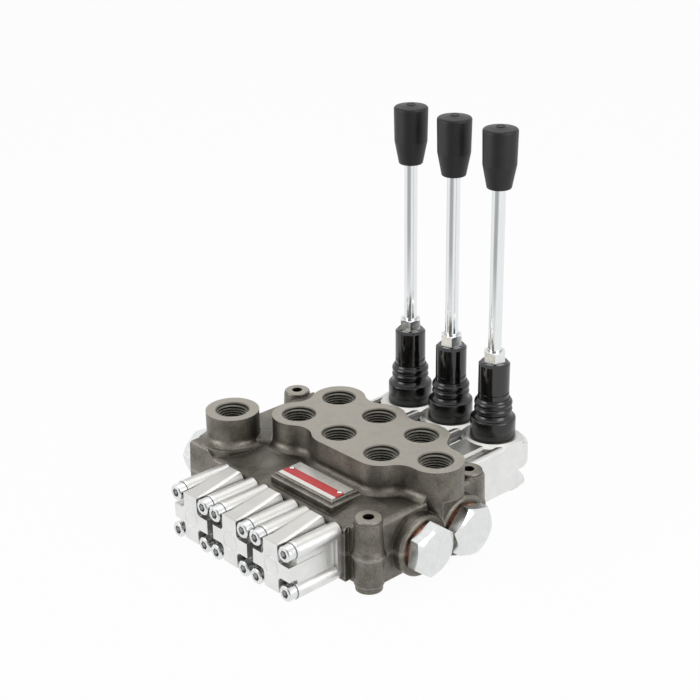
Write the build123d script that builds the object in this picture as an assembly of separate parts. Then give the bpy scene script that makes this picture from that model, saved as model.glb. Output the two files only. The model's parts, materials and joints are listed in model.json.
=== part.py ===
from build123d import *
import os
from math import atan2, cos, degrees, pi, radians, sin, sqrt, tan

# Three-section hydraulic monoblock valve with lever control.
# Frame: the origin lies midway between the two rear mounting holes, on the plane of the feet.
# X runs across the sections, -Y is the spring-cap end, +Y the lever end, +Z is up.

# ---------------------------------------------------------------- sections and spools
SECTIONS = 3
SECTION_PITCH = 38.0
SPOOL_AXIS_Z = 24.0
SPOOL_RADIUS = 9.0
RUNNING_CLEARANCE = 0.05          # radial, spools in their bores and levers on their pins
CLEARANCE = 0.3                   # between pieces that must not touch

# ---------------------------------------------------------------- casting
BODY_LENGTH = 108.0
BODY_BOTTOM_Z = 4.0
DECK_Z = 46.0
PORT_FACE_Z = 65.2
LEFT_FACE_OFFSET = 52.0           # outside face from the first spool
LEFT_LUG_OFFSET = 56.4            # mounting hole from the first spool
RIGHT_LUG_OFFSET = 29.0           # mounting holes from the last spool
REAR_LUG_INSET = 11.0             # rear holes from the lever-end face
FRONT_LUG_INSET = 11.8            # front hole from the cap-end face
CAST_FILLET = 3.5
EDGE_ROUND = 2.0
CAST_WALL = 8.0
DRAFT = 1.5                       # degrees

LUG_RADIUS = 9.9                  # beside the parting bead; the columns draw in above and below
LUG_TOP_RADIUS = 8.9
LUG_LOW_RADIUS = 9.3
LUG_BEAD_RADIUS = 11.0
LUG_BEAD_HALF = 0.5
LUG_BEAD_SLOPE = 3.6              # height over which the bead runs out
LUG_BOSS_RADIUS = 8.5
LUG_BOSS_HEIGHT = 2.0
LUG_BOSS_ROUND = 1.0
LUG_HOLE_RADIUS = 3.5
FOOT_RADIUS = 8.4

SLOPE_DROP = 5.0                  # how far the deck falls towards the spring caps
SLOPE_START = 31.0                # where the fall begins, from the cap-end face
SLOPE_ROUND = 4.0
SLOPE_END_RUN = 16.0              # sloping end of the fall beside the pump boss
LAND_STEP = 3.0                   # cap land stands proud of the front wall beside it
LAND_MARGIN = 21.0                # cap land beyond the last spool

PORT_RADIUS = 10.48               # G 1/2 major radius
PORT_DEPTH = 16.0
PORT_CHAMFER = 0.7
PORT_PASSAGE_RADIUS = 7.5
PORT_ROW_SPACING = 34.7
FRONT_ROW_FROM_FACE = 50.3
LOBE_RADIUS = 17.3
WAIST_RADIUS = 13.7               # hollow between two neighbouring port lobes
TANK_PORT_OFFSET = 29.6           # from the last spool
TANK_PORT_SHIFT = 0.45            # towards the caps, from midway between the rows
PUMP_PORT_OFFSET = 35.0           # from the first spool
PUMP_PORT_FROM_FACE = 23.8
CHAMBER_RADIUS = 13.0
CHAMBER_WIDTH = 9.0
TANK_CHAMBER_SPACING = 17.3       # outer chambers beyond the port rows, front end
TANK_CHAMBER_REAR = 14.0
GALLERY_RADIUS = 4.0
RETURN_RADIUS = 3.5
RETURN_OFFSET = 16.0              # return gallery beside the first spool
PAD_FILLET = 5.0                  # between the deck and the port pad
PAD_FILLET_SINK = 0.15            # foot of the fillet below the deck
PUMP_WEB_HALF_WIDTH = 7.5         # low web from the pump boss to the first port lobe
PUMP_WEB_RISE = 2.6
PUMP_WEB_ROUND = 2.4
SEAL_RADIUS = 12.0
SEAL_WIDTH = 4.0

SIDE_BOSS_RADIUS = 19.8
SIDE_BOSS_ROUND = 2.5
SIDE_BOSS_REACH = 45.5            # boss face from the last spool
SIDE_PLUG_DROP = 1.5              # plug axes below the spool axis
SIDE_PLUG_SPACING = 34.0
SIDE_PLUG_FROM_FACE = 42.0
RELIEF_FROM_FACE = 20.0
RELIEF_BOSS_RADIUS = 16.5
RELIEF_BOSS_HEIGHT = 2.0
RELIEF_RISE = 2.0                 # above the spool axis

# ---------------------------------------------------------------- plugs
PLUG_FLATS = 30.0
PLUG_HEAD = 8.0
FRONT_PLUG_TURN = 22.0            # degrees, where each hexagon has come to rest
REAR_PLUG_TURN = 45.0
RELIEF_PLUG_TURN = 10.0
PLUG_THREAD_LENGTH = 12.0
PLUG_THREAD_RADIUS = 10.5
POPPET_BORE_LENGTH = 14.0
POPPET_BORE_RADIUS = 7.0
POPPET_LENGTH = 9.0
POPPET_NOSE = 3.0
POPPET_TIP_SHARE = 0.35           # of the poppet's radius
SMALL_SPRING_RADIUS = 4.0
SMALL_WIRE_RADIUS = 0.7
SMALL_TURNS = 3
PLUG_RIM = 1.6                    # flat end face inside the flats
PLUG_RIM_ANGLE = 30.0             # degrees
WASHER_RADIUS = 15.4
WASHER_THICKNESS = 1.8
RELIEF_FLATS = 30.0
RELIEF_HEAD = 10.0
RELIEF_THREAD_RADIUS = 9.0
RELIEF_BORE_RADIUS = 5.5

# ---------------------------------------------------------------- spring caps
CAP_LENGTH = 39.0
CAP_HALF_WIDTH = 18.7
CAP_FLANGE = 3.5
SCREW_SPACING = 26.2
CAP_COLUMN_LENGTH = 32.4          # from the casting to the washers
CAP_NOTCH_RADIUS = 6.6            # room round a screw head
RIDGE_PEAK = 4.2                  # peak of the top ridge, from the casting
RIDGE_DROP = 1.6
RIDGE_DROP_FALL = 1.2
RIDGE_NOSE = 1.4                  # sloped nose at the cap's face
RIDGE_NOSE_FALL = 0.6
RIDGE_TOP_HALF_WIDTH = 5.0
RIDGE_FLANK_START = 1.5           # below the top of the cap's bar
CAP_COLUMN_RADIUS = 5.6
CAP_BARREL_RADIUS = 15.0
CAP_BAR_HALF_WIDTH = 6.4
CAP_ARM_HALF_HEIGHT = 4.8
CAP_BAR_REACH = 15.9
CAP_ARM_REACH = 16.2
CAP_BAR_DEPTH = 9.0
CAP_CORNER = 3.0
CAP_WEB_REACH = 15.8              # side webs between the columns
CAP_FLANGE_EASE = 0.2             # flange inside the columns' outer sides
CAP_ARM_END = 10.0                # side arms start to thin this far from the casting
RIDGE_EDGE = 1.6
RIDGE_RISE = 5.5
CAP_CAVITY_RADIUS = 11.8
CAP_HEAD_BORE_RADIUS = 8.0
CAP_END_WALL = 4.0

SCREW_RADIUS = 3.0                # M6 socket head
SCREW_HEAD_RADIUS = 5.0
SCREW_HEAD_HEIGHT = 6.0
SCREW_HEAD_CHAMFER = 0.6
SCREW_SOCKET_FLATS = 5.0
SCREW_SOCKET_DEPTH = 3.0
SCREW_REACH = 12.0                # thread in the casting
THREAD_CLEARANCE = 0.02           # radial, between a thread and its tapped hole
CAP_WASHER_RADIUS = 5.7
CAP_WASHER_THICKNESS = 1.6

# ---------------------------------------------------------------- centring springs
SEAT_RADIUS = 10.8
SEAT_THICKNESS = 2.6
SEAT_SPIGOT_RADIUS = 6.6
SEAT_SPIGOT_LENGTH = 3.0
SPRING_RADIUS = 9.2               # to the middle of the wire
SPRING_WIRE_RADIUS = 1.2
SPRING_TURNS = 4
WIRE_SIDES = 8
BOLT_RADIUS = 4.0
BOLT_HEAD_RADIUS = 6.5
BOLT_HEAD_HEIGHT = 4.0
BOLT_REACH = 14.0
BOLT_STOP_GAP = 0.4               # bolt head to the cap's end wall at full travel

# ---------------------------------------------------------------- lever boxes
BOX_MAIN_LENGTH = 48.0            # to the rear face between the screws
BOX_SCREW_SEAT = 49.6             # underside of the lower screw heads
BOX_SHOULDER_LENGTH = 56.7        # upper rear overhang
BOX_SHOULDER_DEPTH = 17.7
BOX_SHOULDER_ROUND = 5.0
BOX_HEAD_STAND = 1.0              # upper screw heads stand this far out of their pockets
BOX_BOTTOM = 14.7                 # below the spool axis
BOX_TOP = 15.5                    # above the spool axis
BOX_WALL = 3.6
BOX_CAVITY_HALF_WIDTH = 9.6
BOX_RIB_WIDTH = 5.2
BOX_RIB_RISE = 3.0
BOX_RIB_ROUND = 2.8               # outer edge of each rib
BOX_RIB_EDGE = 1.0
BOX_PANEL_HALF_WIDTH = 9.0
BOX_PANEL_RISE = 3.0
LEVER_FROM_FACE = 42.8
COLLAR_RADIUS = 17.2
COLLAR_TOP = 19.5                 # above the spool axis
COLLAR_FOOT_RADIUS = 20.5
COLLAR_FOOT_DROP = 2.0
COLLAR_MOUTH_RADIUS = 11.6
TAIL_HOUSING_RADIUS = 12.6
TAIL_END_WALL = 3.2
LEVER_ROOM = 7.0                  # cavity behind the lever axis
PIVOT_HEIGHT = 18.0               # above the spool axis
PIVOT_PIN_RADIUS = 3.0
PIVOT_PIN_HALF = 9.7              # half the pin, which stops short of the box screws
EAR_RADIUS = 4.8
EAR_REACH = 11.9                  # outside of the pivot ears, from the section's middle
LEVER_EYE_WIDTH = 12.0
LEVER_EYE_RADIUS = 5.6
LEVER_SWING = 16.0                # degrees, each way
BALL_RADIUS = 3.5
ARM_RADIUS = 2.2
BALL_CLEARANCE = 0.25
TAIL_RADIUS = 7.6                 # spool tail round the ball
TAIL_HALF_HEIGHT = 3.8
GROOVE_RADIUS = 6.2
GROOVE_WIDTH = 6.0
TAIL_FLAT_LENGTH = 12.0
TAIL_NECK = 4.0                   # round part of the tail before its flats
TAIL_WALL = 2.0                   # past the ball hole

# ---------------------------------------------------------------- levers
HUB_RADIUS = 10.15
HUB_BOTTOM = 27.0                 # heights above the spool axis
HUB_TOP = 70.9
HUB_CHAMFER = 1.6
HUB_GROOVE_HEIGHT = 50.0
HUB_GROOVE_DEPTH = 0.5
GRUB_RADIUS = 2.2
GRUB_LENGTH = 4.5
GRUB_SINK = 0.8
GRUB_SOCKET_DEPTH = 1.5
GRUB_HEIGHT = 57.5
BOOT_BASE_RADIUS = 14.75
BOOT_BASE_BORE = 13.1
BOOT_SKIRT = 11.5                 # height of the straight skirt
BOOT_HEIGHT = 26.5
BOOT_RING_RADIUS = 12.5
BOOT_VALLEY_RADIUS = 11.2
BOOT_BORE = 10.6
BOOT_GRIP = 3.0                   # height of the lip that holds the hub
BOOT_LIP_WALL = 0.5
BOOT_LIP_HEIGHT = 1.6
BOOT_SHOULDER = 4.2               # height of the sloped shoulder over the skirt
BOOT_SHOULDER_DIP = 0.3
BOOT_SLOPE = 1.5                  # inside, under the shoulder
BOOT_FOLDS = 2
NUT_FLATS = 13.0
NUT_HEIGHT = 7.5
NUT_TURN = 15.0                   # degrees
NUT_RIM = 0.6
ROD_RADIUS = 4.3
ROD_SINK = 14.0
KNOB_BOTTOM = 186.0
KNOB_LENGTH = 38.7
KNOB_RADIUS = 11.0
KNOB_NECK_RADIUS = 7.8
KNOB_SHOULDER_RADIUS = 10.6       # at the taper length above the bottom
KNOB_TAPER_LENGTH = 14.9
KNOB_FOOT = 0.5                   # small chamfer at the bottom
KNOB_DOME = 1.3
KNOB_SINK = 20.0
KNOB_EDGE = 1.8

# ---------------------------------------------------------------- nameplate
PLATE_LENGTH = 48.6
PLATE_WIDTH = 17.3
PLATE_THICKNESS = 0.6
PLATE_MARGIN = 1.6                # pad beyond the plate
PLATE_STEP = 2.4                  # lower step beyond the pad
PLATE_STEP_ROUND = 1.4
PLATE_EDGE = 0.6
PLATE_PAD_Z = 49.0
PLATE_FROM_FACE = 17.6            # centre line from the cap-end face
PLATE_OFFSET = 14.3               # centre from the middle spool
RIVET_RADIUS = 1.6
RIVET_HEIGHT = 0.9
RIVET_ROUND = 0.7
RIVET_INSET = 2.6
RIVET_SHANK_RADIUS = 0.8
RIVET_SHANK = 3.0

# ---------------------------------------------------------------- places worked out from the above
middle_x = (LEFT_LUG_OFFSET - RIGHT_LUG_OFFSET) / 2
section_x = [middle_x + (i - (SECTIONS - 1) / 2) * SECTION_PITCH for i in range(SECTIONS)]
first_x = section_x[0]
last_x = section_x[-1]
left_lug_x = first_x - LEFT_LUG_OFFSET
right_lug_x = last_x + RIGHT_LUG_OFFSET
left_face_x = first_x - LEFT_FACE_OFFSET
right_face_x = right_lug_x + LUG_TOP_RADIUS
rear_y = REAR_LUG_INSET
front_y = rear_y - BODY_LENGTH
front_lug_y = front_y + FRONT_LUG_INSET
lug_places = [(left_lug_x, 0.0), (right_lug_x, 0.0), (right_lug_x, front_lug_y)]

front_row_y = front_y + FRONT_ROW_FROM_FACE
rear_row_y = front_row_y + PORT_ROW_SPACING
mid_row_y = (front_row_y + rear_row_y) / 2
section_ports = [(x, y) for y in (front_row_y, rear_row_y) for x in section_x]
tank_port = (last_x + TANK_PORT_OFFSET, mid_row_y - TANK_PORT_SHIFT)
pump_port = (first_x - PUMP_PORT_OFFSET, front_y + PUMP_PORT_FROM_FACE)

side_face_x = last_x + SIDE_BOSS_REACH
side_plug_z = SPOOL_AXIS_Z - SIDE_PLUG_DROP
side_plug_y = [front_y + SIDE_PLUG_FROM_FACE + i * SIDE_PLUG_SPACING for i in range(2)]
relief_face_x = left_face_x - RELIEF_BOSS_HEIGHT
relief_y = front_y + RELIEF_FROM_FACE
relief_z = SPOOL_AXIS_Z + RELIEF_RISE
middle_section_x = sum(section_x) / SECTIONS
plate_x = middle_section_x + PLATE_OFFSET
plate_y = front_y + PLATE_FROM_FACE
rivet_x = [plate_x + side * (PLATE_LENGTH / 2 - RIVET_INSET) for side in (-1, 1)]
chamber_y = [
    front_row_y - TANK_CHAMBER_SPACING,
    front_row_y,
    mid_row_y,
    rear_row_y,
    rear_row_y + TANK_CHAMBER_REAR,
]

lever_y = rear_y + LEVER_FROM_FACE
pivot_z = SPOOL_AXIS_Z + PIVOT_HEIGHT
spool_travel = PIVOT_HEIGHT * radians(LEVER_SWING)
collar_z = SPOOL_AXIS_Z + COLLAR_TOP

cap_face_y = front_y - CAP_LENGTH
cap_seat_y = front_y - CAP_COLUMN_LENGTH
bolt_head_y = cap_face_y + CAP_END_WALL + spool_travel + BOLT_STOP_GAP
outer_seat_y = bolt_head_y + BOLT_HEAD_HEIGHT
tail_end_y = lever_y + BALL_RADIUS + BALL_CLEARANCE + TAIL_WALL
tail_bore_end_y = tail_end_y + spool_travel + CLEARANCE


def rod_y(radius, y0, y1, x=0.0, z=0.0):
    """Cylinder along Y from y0 to y1."""
    return Pos(x, (y0 + y1) / 2, z) * Rot(90, 0, 0) * Cylinder(radius, abs(y1 - y0))


def rod_x(radius, x0, x1, y=0.0, z=0.0):
    """Cylinder along X from x0 to x1."""
    return Pos((x0 + x1) / 2, y, z) * Rot(0, 90, 0) * Cylinder(radius, abs(x1 - x0))


def rod_z(radius, z0, z1, x=0.0, y=0.0):
    """Cylinder along Z from z0 to z1."""
    return Pos(x, y, (z0 + z1) / 2) * Cylinder(radius, abs(z1 - z0))


def cone_z(radius0, radius1, z0, z1, x=0.0, y=0.0):
    """Cone along Z, radius0 at z0 and radius1 at z1."""
    return Pos(x, y, (z0 + z1) / 2) * Cone(radius0, radius1, z1 - z0)


def block(x0, x1, y0, y1, z0, z1):
    """Box between two corners."""
    centre = Pos((x0 + x1) / 2, (y0 + y1) / 2, (z0 + z1) / 2)
    return centre * Box(abs(x1 - x0), abs(y1 - y0), abs(z1 - z0))


def hexagon(flats, turn=0.0):
    """Regular hexagon by its width across flats."""
    return RegularPolygon(flats / 2, 6, major_radius=False, rotation=turn)


def turned(points, axis_place):
    """Solid of revolution about a vertical axis from (radius, height) points."""
    profile = Plane.XZ * make_face(Polyline([*points, points[0]]))
    return axis_place * revolve(profile, Axis.Z)


# ---------------------------------------------------------------- valve body
def toward(start, end, length):
    """Point at a distance from start along the way to end."""
    step = (end - start).normalized()
    return start + step * length


def outward(start, end):
    """Outward unit vector beside a side of an anticlockwise loop."""
    way = (end - start).normalized()
    return Vector(way.Y, -way.X)


def hollow(start, end):
    """Ends and middle of the waist arc between two port lobes."""
    half = (end - start).length / 2
    reach = sqrt((LOBE_RADIUS + WAIST_RADIUS) ** 2 - half ** 2)
    centre = (start + end) / 2 + outward(start, end) * reach
    return (
        toward(start, centre, LOBE_RADIUS),
        centre - outward(start, end) * WAIST_RADIUS,
        toward(end, centre, LOBE_RADIUS),
    )


def lobe_arc(centre, start, end):
    """Anticlockwise arc of a port lobe."""
    first = atan2(start.Y - centre.Y, start.X - centre.X)
    last = atan2(end.Y - centre.Y, end.X - centre.X)
    half = (last - first) % (2 * pi) / 2
    crown = Vector(cos(first + half), sin(first + half))
    return ThreePointArc(start, centre + crown * LOBE_RADIUS, end)


def port_pad_outline():
    """Lobes round the ports joined by waists; the front of the last two sections is straight."""
    front = [Vector(x, front_row_y) for x in section_x]
    rear = [Vector(x, rear_row_y) for x in reversed(section_x)]
    loop = front + [Vector(*tank_port)] + rear
    sides = []
    for here, after in zip(loop, loop[1:] + loop[:1]):
        straight = here in front[1:] and after in front[1:]
        if straight:
            reach = outward(here, after) * LOBE_RADIUS
            sides.append((here + reach, None, after + reach))
        else:
            sides.append(hollow(here, after))
    edges = []
    for k, here in enumerate(loop):
        edges.append(lobe_arc(here, sides[k - 1][2], sides[k][0]))
        start, middle, end = sides[k]
        edges.append(Line(start, end) if middle is None else ThreePointArc(start, middle, end))
    return make_face(edges)


def casting_outline():
    """Plan of the casting at its parting plane, with the corner by the front lug stepped back."""
    step_x = last_x + LAND_MARGIN
    points = [
        (left_face_x, rear_y),
        (left_face_x, front_y),
        (step_x, front_y),
        (step_x, front_y + LAND_STEP),
        (right_face_x, front_y + LAND_STEP),
        (right_face_x, rear_y),
    ]
    plan = make_face(Polyline([*points, points[0]]))
    right_corners = plan.vertices().filter_by_position(Axis.X, right_face_x - 1, right_face_x + 1)
    return Pos(0, 0, SPOOL_AXIS_Z) * fillet(right_corners, LUG_TOP_RADIUS - 0.2)


def deck_slope():
    """What is cut away where the deck falls towards the spring caps, its front edge rounded."""
    top_z = DECK_Z + 1
    low_z = DECK_Z - SLOPE_DROP
    fall = SLOPE_DROP / SLOPE_START
    edge_y = front_y + SLOPE_ROUND
    edge_z = low_z + fall * SLOPE_ROUND
    crown = (front_y + SLOPE_ROUND * (1 - cos(pi / 4)), edge_z - SLOPE_ROUND * (1 - sin(pi / 4)))
    profile = make_face(
        [
            Line((front_y + SLOPE_START, DECK_Z), (edge_y, edge_z)),
            ThreePointArc((edge_y, edge_z), crown, (front_y, edge_z - SLOPE_ROUND)),
            Polyline(
                [
                    (front_y, edge_z - SLOPE_ROUND),
                    (front_y - 1, edge_z - SLOPE_ROUND),
                    (front_y - 1, top_z),
                    (front_y + SLOPE_START, top_z),
                    (front_y + SLOPE_START, DECK_Z),
                ]
            ),
        ]
    )
    across = extrude(Plane.YZ.offset(first_x - 2 * SECTION_PITCH) * profile, 6 * SECTION_PITCH)
    floor_z = low_z - SLOPE_ROUND - 1
    left_x = first_x - LAND_MARGIN
    right_x = last_x + LAND_MARGIN
    ends = make_face(
        Polyline(
            [
                (left_x - SLOPE_END_RUN, top_z),
                (left_x, floor_z),
                (right_x, floor_z),
                (right_x + SLOPE_END_RUN / 3, top_z),
                (left_x - SLOPE_END_RUN, top_z),
            ]
        )
    )
    along = extrude(Plane.XZ.offset(-front_y + 2) * ends, -(SLOPE_START + 4))
    return across & along


def lug(x, y):
    """Mounting column with its parting bead, drafted up and down, boss and foot."""
    bead_top = SPOOL_AXIS_Z + LUG_BEAD_HALF
    bead_bottom = SPOOL_AXIS_Z - LUG_BEAD_HALF
    column = turned(
        [
            (0, BODY_BOTTOM_Z), (LUG_LOW_RADIUS, BODY_BOTTOM_Z),
            (LUG_RADIUS, bead_bottom - LUG_BEAD_SLOPE), (LUG_BEAD_RADIUS, bead_bottom),
            (LUG_BEAD_RADIUS, bead_top), (LUG_RADIUS, bead_top + LUG_BEAD_SLOPE),
            (LUG_TOP_RADIUS, DECK_Z), (0, DECK_Z),
        ],
        Pos(x, y, 0),
    )
    boss = rod_z(LUG_BOSS_RADIUS, DECK_Z, DECK_Z + LUG_BOSS_HEIGHT, x, y)
    boss = fillet(boss.edges().sort_by(Axis.Z)[-1], LUG_BOSS_ROUND)
    foot = rod_z(FOOT_RADIUS, 0, BODY_BOTTOM_Z, x, y)
    return column + boss + foot


def side_boss(y):
    """Boss that a side plug screws into, its outer edge rounded."""
    boss = rod_x(SIDE_BOSS_RADIUS, right_face_x - CAST_WALL, side_face_x, y, side_plug_z)
    return fillet(boss.edges().sort_by(Axis.X)[-1], SIDE_BOSS_ROUND)


def side_boss_web():
    """Fills the lower hollow between the two side bosses, its outer edges rounded."""
    low_z = side_plug_z - SIDE_BOSS_RADIUS + SIDE_BOSS_ROUND / 2
    outer_x = side_face_x - SIDE_BOSS_ROUND / 2
    web = block(right_face_x - CAST_WALL, outer_x, *side_plug_y, low_z, side_plug_z)
    edge = web.edges().filter_by(Axis.Y).sort_by(lambda e: e.center().Z - e.center().X)[0]
    return fillet(edge, SIDE_BOSS_ROUND)


def pad_skirt():
    """Filleted foot of the port pad."""
    plan = port_pad_outline()
    foot_z = DECK_Z - PAD_FILLET_SINK
    base = Pos(0, 0, foot_z - 1) * plan
    half_x = side_face_x - left_face_x
    half_y = BODY_LENGTH
    slab = block(-half_x, half_x, mid_row_y - half_y, mid_row_y + half_y, foot_z - 1, foot_z)
    skirt = slab + extrude(base, 1 + 2 * PAD_FILLET, dir=(0, 0, 1))
    corner = skirt.edges().filter_by_position(Axis.Z, foot_z, foot_z).filter_by(lambda e: e.length < half_x)
    skirt = fillet(corner, PAD_FILLET)
    reach = offset(base, PAD_FILLET - 2 * PAD_FILLET_SINK)
    skirt &= extrude(reach, 2 * PAD_FILLET, dir=(0, 0, 1))
    return skirt & block(left_face_x, right_face_x - 1, front_y, rear_y, foot_z - 1, PORT_FACE_Z)


def pump_foot():
    """Filleted foot of the pump boss and the low web that joins it to the first port lobe."""
    x, y = pump_port
    foot_z = DECK_Z - PAD_FILLET_SINK
    reach = LOBE_RADIUS + PAD_FILLET
    bend = PAD_FILLET * (1 - cos(pi / 4))
    profile = make_face(
        [
            ThreePointArc(
                (reach, foot_z), (LOBE_RADIUS + bend, foot_z + bend), (LOBE_RADIUS, foot_z + PAD_FILLET)
            ),
            Polyline(
                [
                    (LOBE_RADIUS, foot_z + PAD_FILLET), (0, foot_z + PAD_FILLET),
                    (0, foot_z - CAST_WALL), (reach, foot_z - CAST_WALL), (reach, foot_z),
                ]
            ),
        ]
    )
    foot = Pos(x, y, 0) * revolve(Plane.XZ * profile, Axis.Z)
    foot &= block(left_face_x + 1, first_x, front_y + 1, rear_y, DECK_Z - CAST_WALL, PORT_FACE_Z)
    run = Vector(first_x, front_row_y) - Vector(x, y)
    centre = Vector(x, y) + run / 2
    high = PUMP_WEB_RISE + PUMP_WEB_ROUND
    bar = Box(run.length, 2 * PUMP_WEB_HALF_WIDTH, high)
    bar = fillet(bar.edges().group_by(Axis.Z)[-1].filter_by(Axis.X), PUMP_WEB_ROUND)
    place = Pos(centre.X, centre.Y, DECK_Z + PUMP_WEB_RISE - high / 2)
    return foot + place * Rot(0, 0, degrees(atan2(run.Y, run.X))) * bar


def plate_pad():
    """Stepped pad under the nameplate."""
    half_x = PLATE_LENGTH / 2 + PLATE_MARGIN
    half_y = PLATE_WIDTH / 2 + PLATE_MARGIN
    step_z = (PLATE_PAD_Z + DECK_Z) / 2
    low = block(
        plate_x - half_x - PLATE_STEP, plate_x + half_x + PLATE_STEP,
        plate_y - half_y - PLATE_STEP, plate_y + half_y + PLATE_STEP,
        DECK_Z - SLOPE_DROP - 1, step_z,
    )
    high = block(
        plate_x - half_x, plate_x + half_x, plate_y - half_y, plate_y + half_y, step_z, PLATE_PAD_Z
    )
    low = fillet(low.edges().group_by(Axis.Z)[-1] + low.edges().filter_by(Axis.Z), PLATE_STEP_ROUND)
    high = fillet(high.edges().group_by(Axis.Z)[-1], PLATE_EDGE)
    return low + high


def port_cut(x, y):
    """Threaded port: tapping bore to the major diameter, chamfered mouth, passage to its chamber."""
    floor_z = PORT_FACE_Z - PORT_DEPTH
    bore = rod_z(PORT_RADIUS, floor_z, PORT_FACE_Z + 1, x, y)
    mouth_z = PORT_FACE_Z - PORT_CHAMFER
    return bore + cone_z(PORT_RADIUS, PORT_RADIUS + PORT_CHAMFER, mouth_z, PORT_FACE_Z, x, y)


def spool_cut(x):
    """Spool bore, its five chambers and the seal recess at the lever end."""
    cut = rod_y(SPOOL_RADIUS + RUNNING_CLEARANCE, front_y - 1, rear_y + 1, x, SPOOL_AXIS_Z)
    for y in chamber_y:
        cut += rod_y(CHAMBER_RADIUS, y - CHAMBER_WIDTH / 2, y + CHAMBER_WIDTH / 2, x, SPOOL_AXIS_Z)
    return cut + rod_y(SEAL_RADIUS, rear_y - SEAL_WIDTH, rear_y + 1, x, SPOOL_AXIS_Z)


def gallery_cut():
    """Supply and return galleries between the ports and the chambers."""
    supply_x, supply_y = pump_port
    tank_x, tank_y = tank_port
    return_x = first_x - RETURN_OFFSET
    floor_z = PORT_FACE_Z - PORT_DEPTH
    front_tank_y, rear_tank_y = chamber_y[0], chamber_y[-1]
    sump_z = SPOOL_AXIS_Z - PORT_PASSAGE_RADIUS
    cut = rod_z(PORT_PASSAGE_RADIUS, sump_z, floor_z + 1, supply_x, supply_y)
    cut += rod_y(GALLERY_RADIUS, supply_y, mid_row_y, supply_x, SPOOL_AXIS_Z)
    cut += rod_x(GALLERY_RADIUS, supply_x, last_x, mid_row_y, SPOOL_AXIS_Z)
    for x, y in section_ports:
        cut += rod_z(PORT_PASSAGE_RADIUS - 1, SPOOL_AXIS_Z, floor_z + 1, x, y)
    high_z = floor_z - 2 * RETURN_RADIUS
    low_z = SPOOL_AXIS_Z - CHAMBER_RADIUS + RETURN_RADIUS / 2
    cut += rod_z(PORT_PASSAGE_RADIUS, high_z, floor_z + 1, tank_x, tank_y)
    cut += rod_x(RETURN_RADIUS, return_x, tank_x, tank_y, high_z)
    cut += rod_y(RETURN_RADIUS, front_tank_y, tank_y, return_x, high_z)
    cut += rod_z(RETURN_RADIUS, low_z, high_z, return_x, front_tank_y)
    cut += rod_y(RETURN_RADIUS, front_tank_y, rear_tank_y, return_x, low_z)
    for y in (front_tank_y, rear_tank_y):
        cut += rod_x(RETURN_RADIUS, return_x, last_x, y, low_z)
    return cut


def screw_cut(x, face_y, inward, spacing_z):
    """Four tapped holes round a spool bore."""
    cut = Part()
    for dx in (-SCREW_SPACING / 2, SCREW_SPACING / 2):
        for dz in (-spacing_z / 2, spacing_z / 2):
            cut += rod_y(
                SCREW_RADIUS + THREAD_CLEARANCE, face_y - inward, face_y + inward * (SCREW_REACH + 1),
                x + dx, SPOOL_AXIS_Z + dz,
            )
    return cut


def plug_cut(face_x, inward, y, z, thread_radius, seat_radius):
    """Bore for a plug with a smaller poppet bore behind it."""
    thread_end = face_x + inward * PLUG_THREAD_LENGTH
    seat_end = thread_end + inward * POPPET_BORE_LENGTH
    return rod_x(thread_radius + THREAD_CLEARANCE, face_x - inward, thread_end, y, z) + rod_x(
        seat_radius, thread_end, seat_end, y, z
    )


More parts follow.
